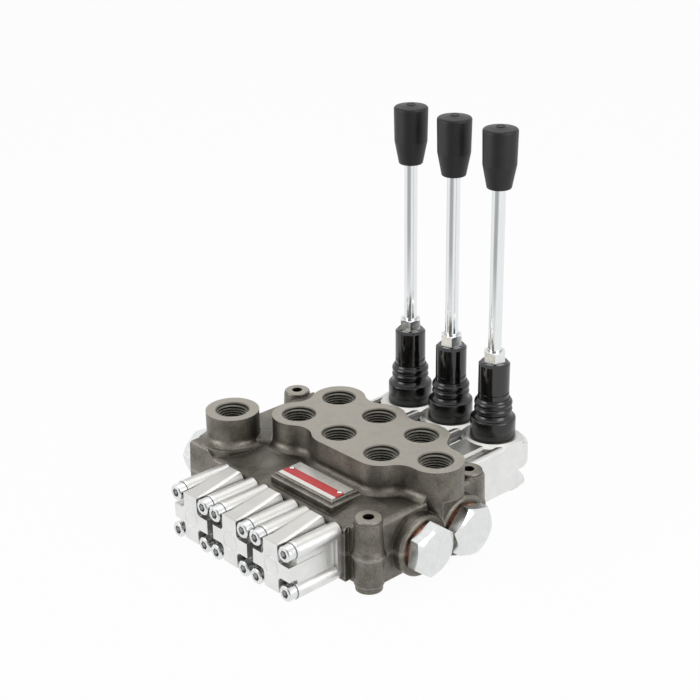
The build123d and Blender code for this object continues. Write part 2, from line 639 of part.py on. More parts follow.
def valve_body():
    """The casting: deck, port pad, bosses, lugs and every bore in it."""
    plan = casting_outline()
    body = extrude(plan, DECK_Z - SPOOL_AXIS_Z, dir=(0, 0, 1), taper=DRAFT)
    body = fillet(body.edges().group_by(Axis.Z)[-1], CAST_FILLET)
    lower = extrude(plan, SPOOL_AXIS_Z - BODY_BOTTOM_Z, dir=(0, 0, -1), taper=DRAFT)
    body += fillet(lower.edges().group_by(Axis.Z)[0], EDGE_ROUND)
    body -= deck_slope()
    land_x0 = first_x - LAND_MARGIN
    land_x1 = last_x + LAND_MARGIN
    land_z0 = SPOOL_AXIS_Z - CAP_HALF_WIDTH
    land_z1 = DECK_Z - SLOPE_DROP - SLOPE_ROUND
    body += block(land_x0, land_x1, front_y, front_y + LAND_STEP, land_z0, land_z1)
    body += block(
        first_x - CAP_HALF_WIDTH, last_x + CAP_HALF_WIDTH, rear_y - LAND_STEP, rear_y,
        SPOOL_AXIS_Z - BOX_BOTTOM, SPOOL_AXIS_Z + BOX_TOP,
    )

    pad = Pos(0, 0, DECK_Z - 1) * port_pad_outline()
    body += extrude(pad, PORT_FACE_Z - DECK_Z + 1, dir=(0, 0, 1))
    body += pad_skirt()
    column = rod_z(LOBE_RADIUS, SPOOL_AXIS_Z, DECK_Z, *tank_port)
    body += column & block(last_x, side_face_x - 1, front_y, rear_y, SPOOL_AXIS_Z, DECK_Z)
    body += rod_z(LOBE_RADIUS, DECK_Z - CAST_WALL, PORT_FACE_Z, *pump_port)
    body += pump_foot()
    for x, y in lug_places:
        body += lug(x, y)
    for y in side_plug_y:
        body += side_boss(y)
    body += side_boss_web()
    body += rod_x(RELIEF_BOSS_RADIUS, relief_face_x, left_face_x + CAST_WALL, relief_y, relief_z)
    body += plate_pad()

    for x, y in [*section_ports, tank_port, pump_port]:
        body -= port_cut(x, y)
    for x in section_x:
        body -= spool_cut(x)
        body -= screw_cut(x, front_y, 1, SCREW_SPACING)
        body -= screw_cut(x, rear_y, -1, SCREW_SPACING)
    body -= gallery_cut()
    for y in side_plug_y:
        body -= plug_cut(side_face_x, -1, y, side_plug_z, PLUG_THREAD_RADIUS, POPPET_BORE_RADIUS)
    body -= plug_cut(relief_face_x, 1, relief_y, relief_z, RELIEF_THREAD_RADIUS, RELIEF_BORE_RADIUS)
    for x, y in lug_places:
        body -= rod_z(LUG_HOLE_RADIUS, -1, DECK_Z + LUG_BOSS_HEIGHT + 1, x, y)
    for x in rivet_x:
        body -= rod_z(RIVET_SHANK_RADIUS, PLATE_PAD_Z - RIVET_SHANK, PLATE_PAD_Z + 1, x, plate_y)
    return body


# ---------------------------------------------------------------- fasteners
def socket_screw(x, y, z, inward, reach):
    """Socket-head screw along Y; y is the underside of the head and inward the way it screws."""
    head = rod_y(SCREW_HEAD_RADIUS, y - inward * SCREW_HEAD_HEIGHT, y, x, z)
    rim = head.edges().filter_by(GeomType.CIRCLE).sort_by(Axis.Y)[0 if inward > 0 else -1]
    head = chamfer(rim, SCREW_HEAD_CHAMFER)
    shank = rod_y(SCREW_RADIUS, y, y + inward * reach, x, z)
    face_y = y - inward * SCREW_HEAD_HEIGHT
    plane = Plane(origin=(x, face_y, z), x_dir=(1, 0, 0), z_dir=(0, inward, 0))
    socket = extrude(plane * hexagon(SCREW_SOCKET_FLATS), SCREW_SOCKET_DEPTH)
    return head + shank - socket


def cap_screws():
    """The spring caps' screws, all alike."""
    reach = front_y - (cap_seat_y - CAP_WASHER_THICKNESS) + SCREW_REACH
    return [
        socket_screw(x + dx, cap_seat_y - CAP_WASHER_THICKNESS, SPOOL_AXIS_Z + dz, 1, reach)
        for x in section_x
        for dx, dz in screw_offsets(SCREW_SPACING)
    ]


def cap_washers():
    """Washers under the cap screws."""
    washers = []
    for x in section_x:
        for dx, dz in screw_offsets(SCREW_SPACING):
            place = (x + dx, SPOOL_AXIS_Z + dz)
            ring = rod_y(CAP_WASHER_RADIUS, cap_seat_y - CAP_WASHER_THICKNESS, cap_seat_y, *place)
            hole_y = cap_seat_y - 2 * CAP_WASHER_THICKNESS
            washers.append(ring - rod_y(SCREW_RADIUS + THREAD_CLEARANCE, hole_y, cap_seat_y + 1, *place))
    return washers


def box_screw_seat(dz):
    """Upper screws sit on the shoulder, lower ones on the shorter columns."""
    return rear_y + (BOX_SHOULDER_LENGTH if dz > 0 else BOX_SCREW_SEAT)


def box_screws():
    """The lever boxes' screws."""
    screws = []
    for x in section_x:
        for dx, dz in screw_offsets(SCREW_SPACING):
            seat = box_screw_seat(dz) - (SCREW_HEAD_HEIGHT - BOX_HEAD_STAND if dz > 0 else 0)
            screws.append(socket_screw(x + dx, seat, SPOOL_AXIS_Z + dz, -1, seat - rear_y + SCREW_REACH))
    return screws


def screw_offsets(spacing_z):
    """Places of four screws round a section's axis."""
    half_x = SCREW_SPACING / 2
    return [(sx * half_x, sz * spacing_z / 2) for sx in (-1, 1) for sz in (-1, 1)]


# ---------------------------------------------------------------- spring caps
def cap_front():
    """Cross-shaped front of a cap, in the section's own X and Z."""
    bar = Rectangle(2 * CAP_BAR_HALF_WIDTH, 2 * CAP_BAR_REACH)
    arms = Rectangle(2 * CAP_ARM_REACH, 2 * CAP_ARM_HALF_HEIGHT)
    cross = bar + arms
    inner = [v for v in cross.vertices() if abs(v.X) < CAP_ARM_REACH - 1 and abs(v.Y) < CAP_BAR_REACH - 1]
    return fillet(inner, CAP_CORNER)


def cap_ridge(x):
    """Ridge on top of a cap that rises towards the casting, then drops to the flange."""
    z0 = SPOOL_AXIS_Z + CAP_BAR_REACH
    peak_y = front_y - RIDGE_PEAK
    ridge_end_y = front_y - (RIDGE_PEAK - RIDGE_DROP) / 2
    flank_z = z0 - RIDGE_FLANK_START
    profile = Polyline(
        [
            (cap_face_y, SPOOL_AXIS_Z),
            (cap_face_y, z0 - RIDGE_NOSE_FALL),
            (cap_face_y + RIDGE_NOSE, z0),
            (peak_y, z0 + RIDGE_RISE),
            (peak_y + RIDGE_DROP, z0 + RIDGE_RISE - RIDGE_DROP_FALL),
            (ridge_end_y, SPOOL_AXIS_Z + CAP_BARREL_RADIUS - 2),
            (ridge_end_y, SPOOL_AXIS_Z),
            (cap_face_y, SPOOL_AXIS_Z),
        ]
    )
    width = 2 * CAP_BAR_HALF_WIDTH
    ridge = extrude(Plane.YZ.offset(x - CAP_BAR_HALF_WIDTH) * make_face(profile), width)
    flanks = Polyline(
        [
            (x - CAP_BAR_HALF_WIDTH, SPOOL_AXIS_Z - 1),
            (x + CAP_BAR_HALF_WIDTH, SPOOL_AXIS_Z - 1),
            (x + CAP_BAR_HALF_WIDTH, flank_z),
            (x + RIDGE_TOP_HALF_WIDTH, z0 + RIDGE_RISE),
            (x - RIDGE_TOP_HALF_WIDTH, z0 + RIDGE_RISE),
            (x - CAP_BAR_HALF_WIDTH, flank_z),
            (x - CAP_BAR_HALF_WIDTH, SPOOL_AXIS_Z - 1),
        ]
    )
    ridge &= extrude(Plane.XZ.offset(-front_y) * make_face(flanks), CAP_LENGTH + 1)
    sides = ridge.edges().filter_by(lambda e: abs(e.center().X - x) > 1 and e.length > CAP_LENGTH / 2)
    return fillet(sides.sort_by(Axis.Z)[-2:], RIDGE_EDGE)


def cap_arms(x):
    """Side arms of a cap and the webs between its columns."""
    reach = CAP_ARM_REACH
    end_y = front_y - CAP_FLANGE + 0.5
    profile = Polyline(
        [
            (x - reach, cap_face_y),
            (x + reach, cap_face_y),
            (x + reach, front_y - CAP_ARM_END),
            (x + CAP_BARREL_RADIUS - 1, end_y),
            (x - CAP_BARREL_RADIUS + 1, end_y),
            (x - reach, front_y - CAP_ARM_END),
            (x - reach, cap_face_y),
        ]
    )
    low = Pos(0, 0, SPOOL_AXIS_Z - CAP_ARM_HALF_HEIGHT)
    arms = extrude(low * make_face(profile), 2 * CAP_ARM_HALF_HEIGHT, dir=(0, 0, 1))
    half_z = SCREW_SPACING / 2
    reach = CAP_WEB_REACH
    return arms + block(x - reach, x + reach, cap_seat_y, end_y, SPOOL_AXIS_Z - half_z, SPOOL_AXIS_Z + half_z)


def spring_cap(x):
    """Die-cast cap over a centring spring: cross front, four screw columns, ridge and flange."""
    front = Plane(origin=(x, cap_face_y, SPOOL_AXIS_Z), x_dir=(1, 0, 0), z_dir=(0, -1, 0))
    cap = extrude(front * cap_front(), -(CAP_BAR_DEPTH + 2))
    cap += rod_y(CAP_BARREL_RADIUS, cap_face_y + CAP_BAR_DEPTH, front_y, x, SPOOL_AXIS_Z)
    cap += cap_ridge(x)
    cap += cap_arms(x)
    for dx, dz in screw_offsets(SCREW_SPACING):
        cap -= rod_y(CAP_NOTCH_RADIUS, cap_face_y - 1, cap_seat_y, x + dx, SPOOL_AXIS_Z + dz)
        cap += rod_y(CAP_COLUMN_RADIUS, cap_seat_y, front_y, x + dx, SPOOL_AXIS_Z + dz)
    flange = Rectangle(2 * (CAP_HALF_WIDTH - CAP_FLANGE_EASE), SCREW_SPACING + CAP_COLUMN_RADIUS / 4)
    rear = Plane(origin=(x, front_y, SPOOL_AXIS_Z), x_dir=(1, 0, 0), z_dir=(0, -1, 0))
    cap += extrude(rear * flange, CAP_FLANGE)
    cap -= rod_y(CAP_CAVITY_RADIUS, outer_seat_y, front_y + 1, x, SPOOL_AXIS_Z)
    cap -= rod_y(CAP_HEAD_BORE_RADIUS, cap_face_y + CAP_END_WALL, outer_seat_y, x, SPOOL_AXIS_Z)
    hole_radius = SCREW_RADIUS + THREAD_CLEARANCE
    for dx, dz in screw_offsets(SCREW_SPACING):
        cap -= rod_y(hole_radius, cap_seat_y - 1, front_y + 1, x + dx, SPOOL_AXIS_Z + dz)
    return cap


# ---------------------------------------------------------------- spools and centring springs
def spool(x):
    """Spool with its metering grooves; the tail is flattened and drilled for the lever's ball."""
    part = rod_y(SPOOL_RADIUS, front_y, lever_y - TAIL_FLAT_LENGTH, x, SPOOL_AXIS_Z)
    part += rod_y(TAIL_RADIUS, lever_y - TAIL_FLAT_LENGTH, tail_end_y, x, SPOOL_AXIS_Z)
    for before, after in zip(chamber_y, chamber_y[1:]):
        groove_y = (before + after) / 2
        half = GROOVE_WIDTH / 2
        ring = rod_y(SPOOL_RADIUS + 1, groove_y - half, groove_y + half, x, SPOOL_AXIS_Z)
        part -= ring - rod_y(GROOVE_RADIUS, groove_y - 2 * half, groove_y + 2 * half, x, SPOOL_AXIS_Z)
    flat_y = lever_y - TAIL_FLAT_LENGTH + TAIL_NECK
    low_z = SPOOL_AXIS_Z - SPOOL_RADIUS
    high_z = SPOOL_AXIS_Z + SPOOL_RADIUS
    for side, far_z in ((-1, low_z), (1, high_z)):
        near_z = SPOOL_AXIS_Z + side * TAIL_HALF_HEIGHT
        part -= block(x - SPOOL_RADIUS, x + SPOOL_RADIUS, flat_y, tail_end_y + 1, near_z, far_z)
    part -= rod_z(BALL_RADIUS + BALL_CLEARANCE, low_z, high_z, x, lever_y)
    bolt_end_y = front_y + BOLT_REACH + 1
    return part - rod_y(BOLT_RADIUS + THREAD_CLEARANCE, front_y - 1, bolt_end_y, x, SPOOL_AXIS_Z)


def spring_bolt(x):
    """Bolt in the spool's end; its head pulls the outer spring seat."""
    head = rod_y(BOLT_HEAD_RADIUS, bolt_head_y, outer_seat_y, x, SPOOL_AXIS_Z)
    plane = Plane(origin=(x, bolt_head_y, SPOOL_AXIS_Z), x_dir=(1, 0, 0), z_dir=(0, 1, 0))
    head -= extrude(plane * hexagon(SCREW_SOCKET_FLATS), BOLT_HEAD_HEIGHT / 2)
    return head + rod_y(BOLT_RADIUS, outer_seat_y, front_y + BOLT_REACH, x, SPOOL_AXIS_Z)


def spring_seats(x):
    """The two spring seats: one on the casting, one against the cap's step."""
    seats = []
    for y, way in ((outer_seat_y, 1), (front_y, -1)):
        seat = rod_y(SEAT_RADIUS, y, y + way * SEAT_THICKNESS, x, SPOOL_AXIS_Z)
        seat += rod_y(SEAT_SPIGOT_RADIUS, y, y + way * (SEAT_THICKNESS + SEAT_SPIGOT_LENGTH), x, SPOOL_AXIS_Z)
        seats.append(seat - rod_y(BOLT_RADIUS + CLEARANCE, cap_face_y, rear_y, x, SPOOL_AXIS_Z))
    return seats


def coil(radius, wire, turns, length, place):
    """Compression spring along local Z, its wire drawn with few sides."""
    pitch = (length - 2 * wire) / turns
    path = Pos(0, 0, wire) * Helix(pitch, pitch * turns, radius)
    section = Plane(path @ 0, z_dir=path % 0) * RegularPolygon(wire, WIRE_SIDES)
    return place * sweep(section, path, is_frenet=True)


def centring_spring(x):
    """Spring between the two seats."""
    start = outer_seat_y + SEAT_THICKNESS
    end = front_y - SEAT_THICKNESS
    place = Pos(x, start, SPOOL_AXIS_Z) * Rot(-90, 0, 0)
    return coil(SPRING_RADIUS, SPRING_WIRE_RADIUS, SPRING_TURNS, end - start, place)


def spool_seals():
    """Lip seals round the spools at the lever end of the casting."""
    return [
        rod_y(SEAL_RADIUS, rear_y - SEAL_WIDTH, rear_y, x, SPOOL_AXIS_Z)
        - rod_y(SPOOL_RADIUS + RUNNING_CLEARANCE, rear_y - SEAL_WIDTH - 1, rear_y + 1, x, SPOOL_AXIS_Z)
        for x in section_x
    ]


# ---------------------------------------------------------------- lever boxes
def top_edge(rib, side):
    """The highest edge of a rib along Y on one side."""
    return rib.edges().group_by(Axis.Z)[-1].filter_by(Axis.Y).sort_by(lambda e: side * e.center().X)[-1]


def lever_box(x):
    """Die-cast box round a spool tail: ribs, panel, boot collar, pivot ears and a tail housing."""
    half = CAP_HALF_WIDTH
    bottom_z = SPOOL_AXIS_Z - BOX_BOTTOM
    top_z = SPOOL_AXIS_Z + BOX_TOP
    main_y = rear_y + BOX_MAIN_LENGTH
    box = block(x - half, x + half, rear_y, main_y, bottom_z, top_z)
    shoulder_y = rear_y + BOX_SHOULDER_LENGTH
    shoulder = block(x - half, x + half, main_y - BOX_WALL, shoulder_y, top_z - BOX_SHOULDER_DEPTH, top_z)
    shoulder = fillet(shoulder.edges().group_by(Axis.Y)[-1].filter_by(Axis.X), BOX_SHOULDER_ROUND)
    box += shoulder
    rib_top_z = top_z + BOX_RIB_RISE
    for side in (-1, 1):
        near_x = x + side * (half - BOX_RIB_WIDTH)
        rib = block(near_x, x + side * half, rear_y, main_y, top_z - 1, rib_top_z)
        rib = chamfer(top_edge(rib, -side), BOX_RIB_EDGE)
        box += fillet(top_edge(rib, side), BOX_RIB_ROUND)
        column_x = x + side * SCREW_SPACING / 2
        column_z = SPOOL_AXIS_Z - SCREW_SPACING / 2
        box += rod_y(CAP_COLUMN_RADIUS, main_y - BOX_WALL, box_screw_seat(-1), column_x, column_z)
    panel_half = BOX_PANEL_HALF_WIDTH
    panel = block(x - panel_half, x + panel_half, rear_y, lever_y, top_z - 1, top_z + BOX_PANEL_RISE)
    box += chamfer(panel.edges().group_by(Axis.Z)[-1].filter_by(Axis.Y), BOX_PANEL_RISE / 2)
    foot_z = collar_z - COLLAR_FOOT_DROP
    collar = rod_z(COLLAR_FOOT_RADIUS, top_z - 1, foot_z, x, lever_y)
    collar += cone_z(COLLAR_FOOT_RADIUS, COLLAR_RADIUS, foot_z, collar_z, x, lever_y)
    box += collar & block(x - half, x + half, rear_y, shoulder_y, bottom_z, collar_z + 1)
    box += rod_y(TAIL_HOUSING_RADIUS, main_y - BOX_WALL, tail_bore_end_y + TAIL_END_WALL, x, SPOOL_AXIS_Z)

    cavity = BOX_CAVITY_HALF_WIDTH
    roof_z = top_z - BOX_WALL
    box -= block(x - cavity, x + cavity, rear_y - 1, main_y - BOX_WALL, SPOOL_AXIS_Z - cavity, roof_z)
    box -= block(x - cavity, x + cavity, rear_y, lever_y + LEVER_ROOM, SPOOL_AXIS_Z, roof_z)
    box -= rod_y(cavity, rear_y, tail_bore_end_y, x, SPOOL_AXIS_Z)
    box -= rod_z(COLLAR_MOUTH_RADIUS, top_z - BOX_WALL - 1, collar_z + 1, x, lever_y)
    inner = LEVER_EYE_WIDTH / 2 + CLEARANCE
    for side in (-1, 1):
        near_x = x + side * inner
        far_x = x + side * EAR_REACH
        ear = rod_x(EAR_RADIUS, near_x, far_x, lever_y, pivot_z)
        ear += block(near_x, far_x, lever_y - EAR_RADIUS, lever_y + EAR_RADIUS, top_z - 2 * BOX_WALL, pivot_z)
        box += ear
    box -= rod_x(PIVOT_PIN_RADIUS, x - PIVOT_PIN_HALF, x + PIVOT_PIN_HALF, lever_y, pivot_z)
    for dx, dz in screw_offsets(SCREW_SPACING):
        hole_x = x + dx
        hole_z = SPOOL_AXIS_Z + dz
        box -= rod_y(SCREW_RADIUS + THREAD_CLEARANCE, rear_y - 1, shoulder_y + 1, hole_x, hole_z)
        if dz > 0:
            sunk_y = box_screw_seat(dz) - SCREW_HEAD_HEIGHT + BOX_HEAD_STAND
            box -= rod_y(SCREW_HEAD_RADIUS + CLEARANCE, sunk_y, shoulder_y + 1, hole_x, hole_z)
    return box


def pivot_pin(x):
    """Pin the lever turns on."""
    return rod_x(PIVOT_PIN_RADIUS, x - PIVOT_PIN_HALF, x + PIVOT_PIN_HALF, lever_y, pivot_z)


# ---------------------------------------------------------------- levers
def lever_hub(x):
    """Turned hub with the pivot eye, the arm and the ball that moves the spool."""
    hub = rod_z(HUB_RADIUS, SPOOL_AXIS_Z + HUB_BOTTOM, SPOOL_AXIS_Z + HUB_TOP, x, lever_y)
    hub = chamfer(hub.edges().sort_by(Axis.Z)[-1], HUB_CHAMFER)
    groove_z = SPOOL_AXIS_Z + HUB_GROOVE_HEIGHT
    groove = rod_z(HUB_RADIUS + 1, groove_z - HUB_GROOVE_DEPTH, groove_z + HUB_GROOVE_DEPTH, x, lever_y)
    hub -= groove - rod_z(HUB_RADIUS - HUB_GROOVE_DEPTH, groove_z - 2, groove_z + 2, x, lever_y)
    half = LEVER_EYE_WIDTH / 2
    near_y = lever_y - LEVER_EYE_RADIUS
    far_y = lever_y + LEVER_EYE_RADIUS
    hub += block(x - half, x + half, near_y, far_y, pivot_z, SPOOL_AXIS_Z + HUB_BOTTOM + 1)
    hub += rod_x(LEVER_EYE_RADIUS, x - half, x + half, lever_y, pivot_z)
    hub += rod_z(ARM_RADIUS, SPOOL_AXIS_Z, pivot_z, x, lever_y)
    hub += Pos(x, lever_y, SPOOL_AXIS_Z) * Sphere(BALL_RADIUS)
    hub -= rod_x(PIVOT_PIN_RADIUS + RUNNING_CLEARANCE, x - half - 1, x + half + 1, lever_y, pivot_z)
    hub_top_z = SPOOL_AXIS_Z + HUB_TOP
    hub -= rod_z(ROD_RADIUS + THREAD_CLEARANCE, hub_top_z - ROD_SINK, hub_top_z + 1, x, lever_y)
    grub_z = SPOOL_AXIS_Z + GRUB_HEIGHT
    return hub - rod_x(GRUB_RADIUS + THREAD_CLEARANCE, x - HUB_RADIUS - 1, x - ROD_RADIUS, lever_y, grub_z)


def grub_screw(x):
    """Set screw that locks the rod in the hub."""
    outer_x = x - HUB_RADIUS + GRUB_SINK
    grub_z = SPOOL_AXIS_Z + GRUB_HEIGHT
    plane = Plane(origin=(outer_x, lever_y, grub_z), x_dir=(0, 1, 0), z_dir=(1, 0, 0))
    socket = extrude(plane * hexagon(GRUB_RADIUS), GRUB_SOCKET_DEPTH)
    return rod_x(GRUB_RADIUS, outer_x, outer_x + GRUB_LENGTH, lever_y, grub_z) - socket


def boot(x):
    """Rubber boot: skirt on the collar, sloped shoulder, two bellows and the lip round the hub."""
    skirt = BOOT_SKIRT
    lip = BOOT_HEIGHT
    lip_radius = HUB_RADIUS + BOOT_LIP_WALL
    low = skirt + BOOT_SHOULDER
    fold = (lip - BOOT_LIP_HEIGHT - low) / BOOT_FOLDS
    outer = [
        ThreePointArc(
            (BOOT_BASE_RADIUS, skirt),
            ((BOOT_BASE_RADIUS + BOOT_VALLEY_RADIUS) / 2 - BOOT_SHOULDER_DIP, skirt + BOOT_SHOULDER / 2),
            (BOOT_VALLEY_RADIUS, low),
        )
    ]
    for k in range(BOOT_FOLDS):
        start = low + k * fold
        ring = (BOOT_RING_RADIUS, start + fold / 2)
        outer.append(ThreePointArc((BOOT_VALLEY_RADIUS, start), ring, (BOOT_VALLEY_RADIUS, start + fold)))
    outer.append(Line((BOOT_VALLEY_RADIUS, lip - BOOT_LIP_HEIGHT), (lip_radius, lip)))
    grip = HUB_RADIUS + RUNNING_CLEARANCE
    inner = Polyline(
        [
            (lip_radius, lip),
            (grip, lip),
            (grip, lip - BOOT_GRIP),
            (BOOT_BORE, lip - BOOT_GRIP),
            (BOOT_BORE, skirt),
            (BOOT_BASE_BORE, skirt - BOOT_SLOPE),
            (BOOT_BASE_BORE, 0),
            (BOOT_BASE_RADIUS, 0),
            (BOOT_BASE_RADIUS, skirt),
        ]
    )
    profile = Plane.XZ * make_face([*outer, inner])
    return Pos(x, lever_y, collar_z) * revolve(profile, Axis.Z)


def lever_rod(x):
    """Straight rod from the hub into the knob."""
    bottom = SPOOL_AXIS_Z + HUB_TOP - ROD_SINK
    return rod_z(ROD_RADIUS, bottom, SPOOL_AXIS_Z + KNOB_BOTTOM + KNOB_SINK, x, lever_y)


def lock_nut(x):
    """Nut that locks the rod on the hub, both rims chamfered."""
    z = SPOOL_AXIS_Z + HUB_TOP
    nut = extrude(Pos(x, lever_y, z) * hexagon(NUT_FLATS, NUT_TURN), NUT_HEIGHT)
    flat = NUT_FLATS / 2
    corner = flat / cos(pi / 6)
    nut &= turned(
        [
            (0, 0), (flat, 0), (corner, NUT_RIM),
            (corner, NUT_HEIGHT - NUT_RIM), (flat, NUT_HEIGHT), (0, NUT_HEIGHT),
        ],
        Pos(x, lever_y, z),
    )
    return nut - rod_z(ROD_RADIUS + THREAD_CLEARANCE, z - 1, z + NUT_HEIGHT + 1, x, lever_y)


def knob(x):
    """Hand knob: a cone that runs into a long drum with a slightly domed top."""
    z = SPOOL_AXIS_Z + KNOB_BOTTOM
    rim_z = KNOB_LENGTH - KNOB_DOME
    edge_z = rim_z - KNOB_EDGE
    edge = RadiusArc((KNOB_RADIUS, edge_z), (KNOB_RADIUS - KNOB_EDGE, rim_z), -KNOB_EDGE)
    rest = Polyline(
        [
            (KNOB_RADIUS - KNOB_EDGE, rim_z),
            (0, KNOB_LENGTH),
            (0, 0),
            (KNOB_NECK_RADIUS - KNOB_FOOT, 0),
            (KNOB_NECK_RADIUS, KNOB_FOOT),
            (KNOB_SHOULDER_RADIUS, KNOB_TAPER_LENGTH),
            (KNOB_RADIUS, edge_z),
        ]
    )
    profile = Plane.XZ * make_face([edge, rest])
    shape = Pos(x, lever_y, z) * revolve(profile, Axis.Z)
    return shape - rod_z(ROD_RADIUS + THREAD_CLEARANCE, z - 1, z + KNOB_SINK, x, lever_y)


# ---------------------------------------------------------------- plugs, poppets and nameplate
def hex_plug(face_x, outward_x, y, z, flats, head, thread_radius, turn):
    """Hexagon plug along X over its washer, the outer rim turned to a chamfer."""
    seat_x = face_x + outward_x * WASHER_THICKNESS
    plane = Plane(origin=(seat_x, y, z), x_dir=(0, 1, 0), z_dir=(outward_x, 0, 0))
    hexagon_head = extrude(plane * hexagon(flats, turn), head)
    corner = flats / 2 / cos(pi / 6)
    rim = flats / 2 - PLUG_RIM
    drop = (corner - rim) * tan(radians(PLUG_RIM_ANGLE))
    turning = turned([(0, 0), (corner, 0), (corner, head - drop), (rim, head), (0, head)], plane.location)
    plug = hexagon_head & turning
    return plug + rod_x(thread_radius, face_x - outward_x * (PLUG_THREAD_LENGTH - 1), seat_x, y, z)


def washer(face_x, outward_x, y, z, radius, thread_radius):
    """Sealing washer under a plug."""
    ring = rod_x(radius, face_x, face_x + outward_x * WASHER_THICKNESS, y, z)
    reach = 2 * WASHER_THICKNESS
    return ring - rod_x(thread_radius + THREAD_CLEARANCE, face_x - reach, face_x + reach, y, z)


def poppet(tip_x, way, y, z, radius):
    """Poppet along X with a cone on its seat end."""
    body = rod_x(radius, tip_x + way * POPPET_NOSE, tip_x + way * POPPET_LENGTH, y, z)
    nose = Cone(radius * POPPET_TIP_SHARE, radius, POPPET_NOSE)
    return body + Pos(tip_x + way * POPPET_NOSE / 2, y, z) * Rot(0, 90 * way, 0) * nose


def x_spring(x0, x1, y, z, radius):
    """Spring along X between a poppet and its plug."""
    place = Pos(min(x0, x1), y, z) * Rot(0, 90, 0)
    return coil(radius, SMALL_WIRE_RADIUS, SMALL_TURNS, abs(x1 - x0), place)


def nameplate():
    """Plain plate on its pad."""
    plate = block(
        plate_x - PLATE_LENGTH / 2, plate_x + PLATE_LENGTH / 2,
        plate_y - PLATE_WIDTH / 2, plate_y + PLATE_WIDTH / 2,
        PLATE_PAD_Z, PLATE_PAD_Z + PLATE_THICKNESS,
    )
    for x in rivet_x:
        plate -= rod_z(RIVET_SHANK_RADIUS, PLATE_PAD_Z - 1, PLATE_PAD_Z + 2, x, plate_y)
    return plate


def nameplate_rivets():
    """Rivets at the ends of the nameplate."""
    z = PLATE_PAD_Z + PLATE_THICKNESS
    rivets = []
    for x in rivet_x:
        head = rod_z(RIVET_RADIUS, z, z + RIVET_HEIGHT, x, plate_y)
        head = fillet(head.edges().sort_by(Axis.Z)[-1], RIVET_ROUND)
        rivets.append(head + rod_z(RIVET_SHANK_RADIUS, PLATE_PAD_Z - RIVET_SHANK, z, x, plate_y))
    return rivets


# ---------------------------------------------------------------- write one STEP per node
check_y, blank_y = side_plug_y
thread_tip_x = side_face_x - PLUG_THREAD_LENGTH + 1
poppet_seat_x = side_face_x - PLUG_THREAD_LENGTH - POPPET_BORE_LENGTH
relief_tip_x = relief_face_x + PLUG_THREAD_LENGTH - 1
relief_seat_x = relief_face_x + PLUG_THREAD_LENGTH + POPPET_BORE_LENGTH

nodes = {
    "valve_body": [valve_body()],
    "cap_screws": cap_screws(),
    "cap_washers": cap_washers(),
    "box_screws": box_screws(),
    "spool_seals": spool_seals(),
    "side_plug_front": [
        hex_plug(
            side_face_x, 1, check_y, side_plug_z, PLUG_FLATS, PLUG_HEAD, PLUG_THREAD_RADIUS, FRONT_PLUG_TURN
        )
    ],
    "side_plug_rear": [
        hex_plug(
            side_face_x, 1, blank_y, side_plug_z, PLUG_FLATS, PLUG_HEAD, PLUG_THREAD_RADIUS, REAR_PLUG_TURN
        )
    ],
    "plug_washers": [
        washer(side_face_x, 1, y, side_plug_z, WASHER_RADIUS, PLUG_THREAD_RADIUS) for y in side_plug_y
    ],
    "check_poppet": [
        poppet(poppet_seat_x, 1, check_y, side_plug_z, POPPET_BORE_RADIUS - RUNNING_CLEARANCE)
    ],
    "check_spring": [
        x_spring(poppet_seat_x + POPPET_LENGTH, thread_tip_x, check_y, side_plug_z, SMALL_SPRING_RADIUS)
    ],
    "relief_plug": [
        hex_plug(
            relief_face_x, -1, relief_y, relief_z,
            RELIEF_FLATS, RELIEF_HEAD, RELIEF_THREAD_RADIUS, RELIEF_PLUG_TURN,
        )
    ],
    "relief_washer": [
        washer(relief_face_x, -1, relief_y, relief_z, RELIEF_FLATS / 2, RELIEF_THREAD_RADIUS)
    ],
    "relief_poppet": [
        poppet(relief_seat_x, -1, relief_y, relief_z, RELIEF_BORE_RADIUS - RUNNING_CLEARANCE)
    ],
    "relief_spring": [
        x_spring(relief_seat_x - POPPET_LENGTH, relief_tip_x, relief_y, relief_z, SMALL_SPRING_RADIUS)
    ],
    "nameplate": [nameplate()],
    "nameplate_rivets": nameplate_rivets(),
}
for number, x in enumerate(section_x, 1):
    nodes[f"spool_{number}"] = [spool(x)]
    nodes[f"spring_bolt_{number}"] = [spring_bolt(x)]
    nodes[f"spring_seats_{number}"] = spring_seats(x)
    nodes[f"centring_spring_{number}"] = [centring_spring(x)]
    nodes[f"spring_cap_{number}"] = [spring_cap(x)]
    nodes[f"lever_box_{number}"] = [lever_box(x)]
    nodes[f"pivot_pin_{number}"] = [pivot_pin(x)]
    nodes[f"lever_hub_{number}"] = [lever_hub(x)]
    nodes[f"grub_screw_{number}"] = [grub_screw(x)]
    nodes[f"boot_{number}"] = [boot(x)]
    nodes[f"lever_rod_{number}"] = [lever_rod(x)]
    nodes[f"lock_nut_{number}"] = [lock_nut(x)]
    nodes[f"knob_{number}"] = [knob(x)]

os.makedirs("parts", exist_ok=True)
for name, shapes in nodes.items():
    solids = [solid for shape in shapes for solid in shape.solids()]
    export_step(Compound(solids) if len(solids) > 1 else solids[0], f"parts/{name}.step")
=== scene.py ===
import json
from math import cos, pi, radians, sin

import bpy
from mathutils import Matrix, Vector


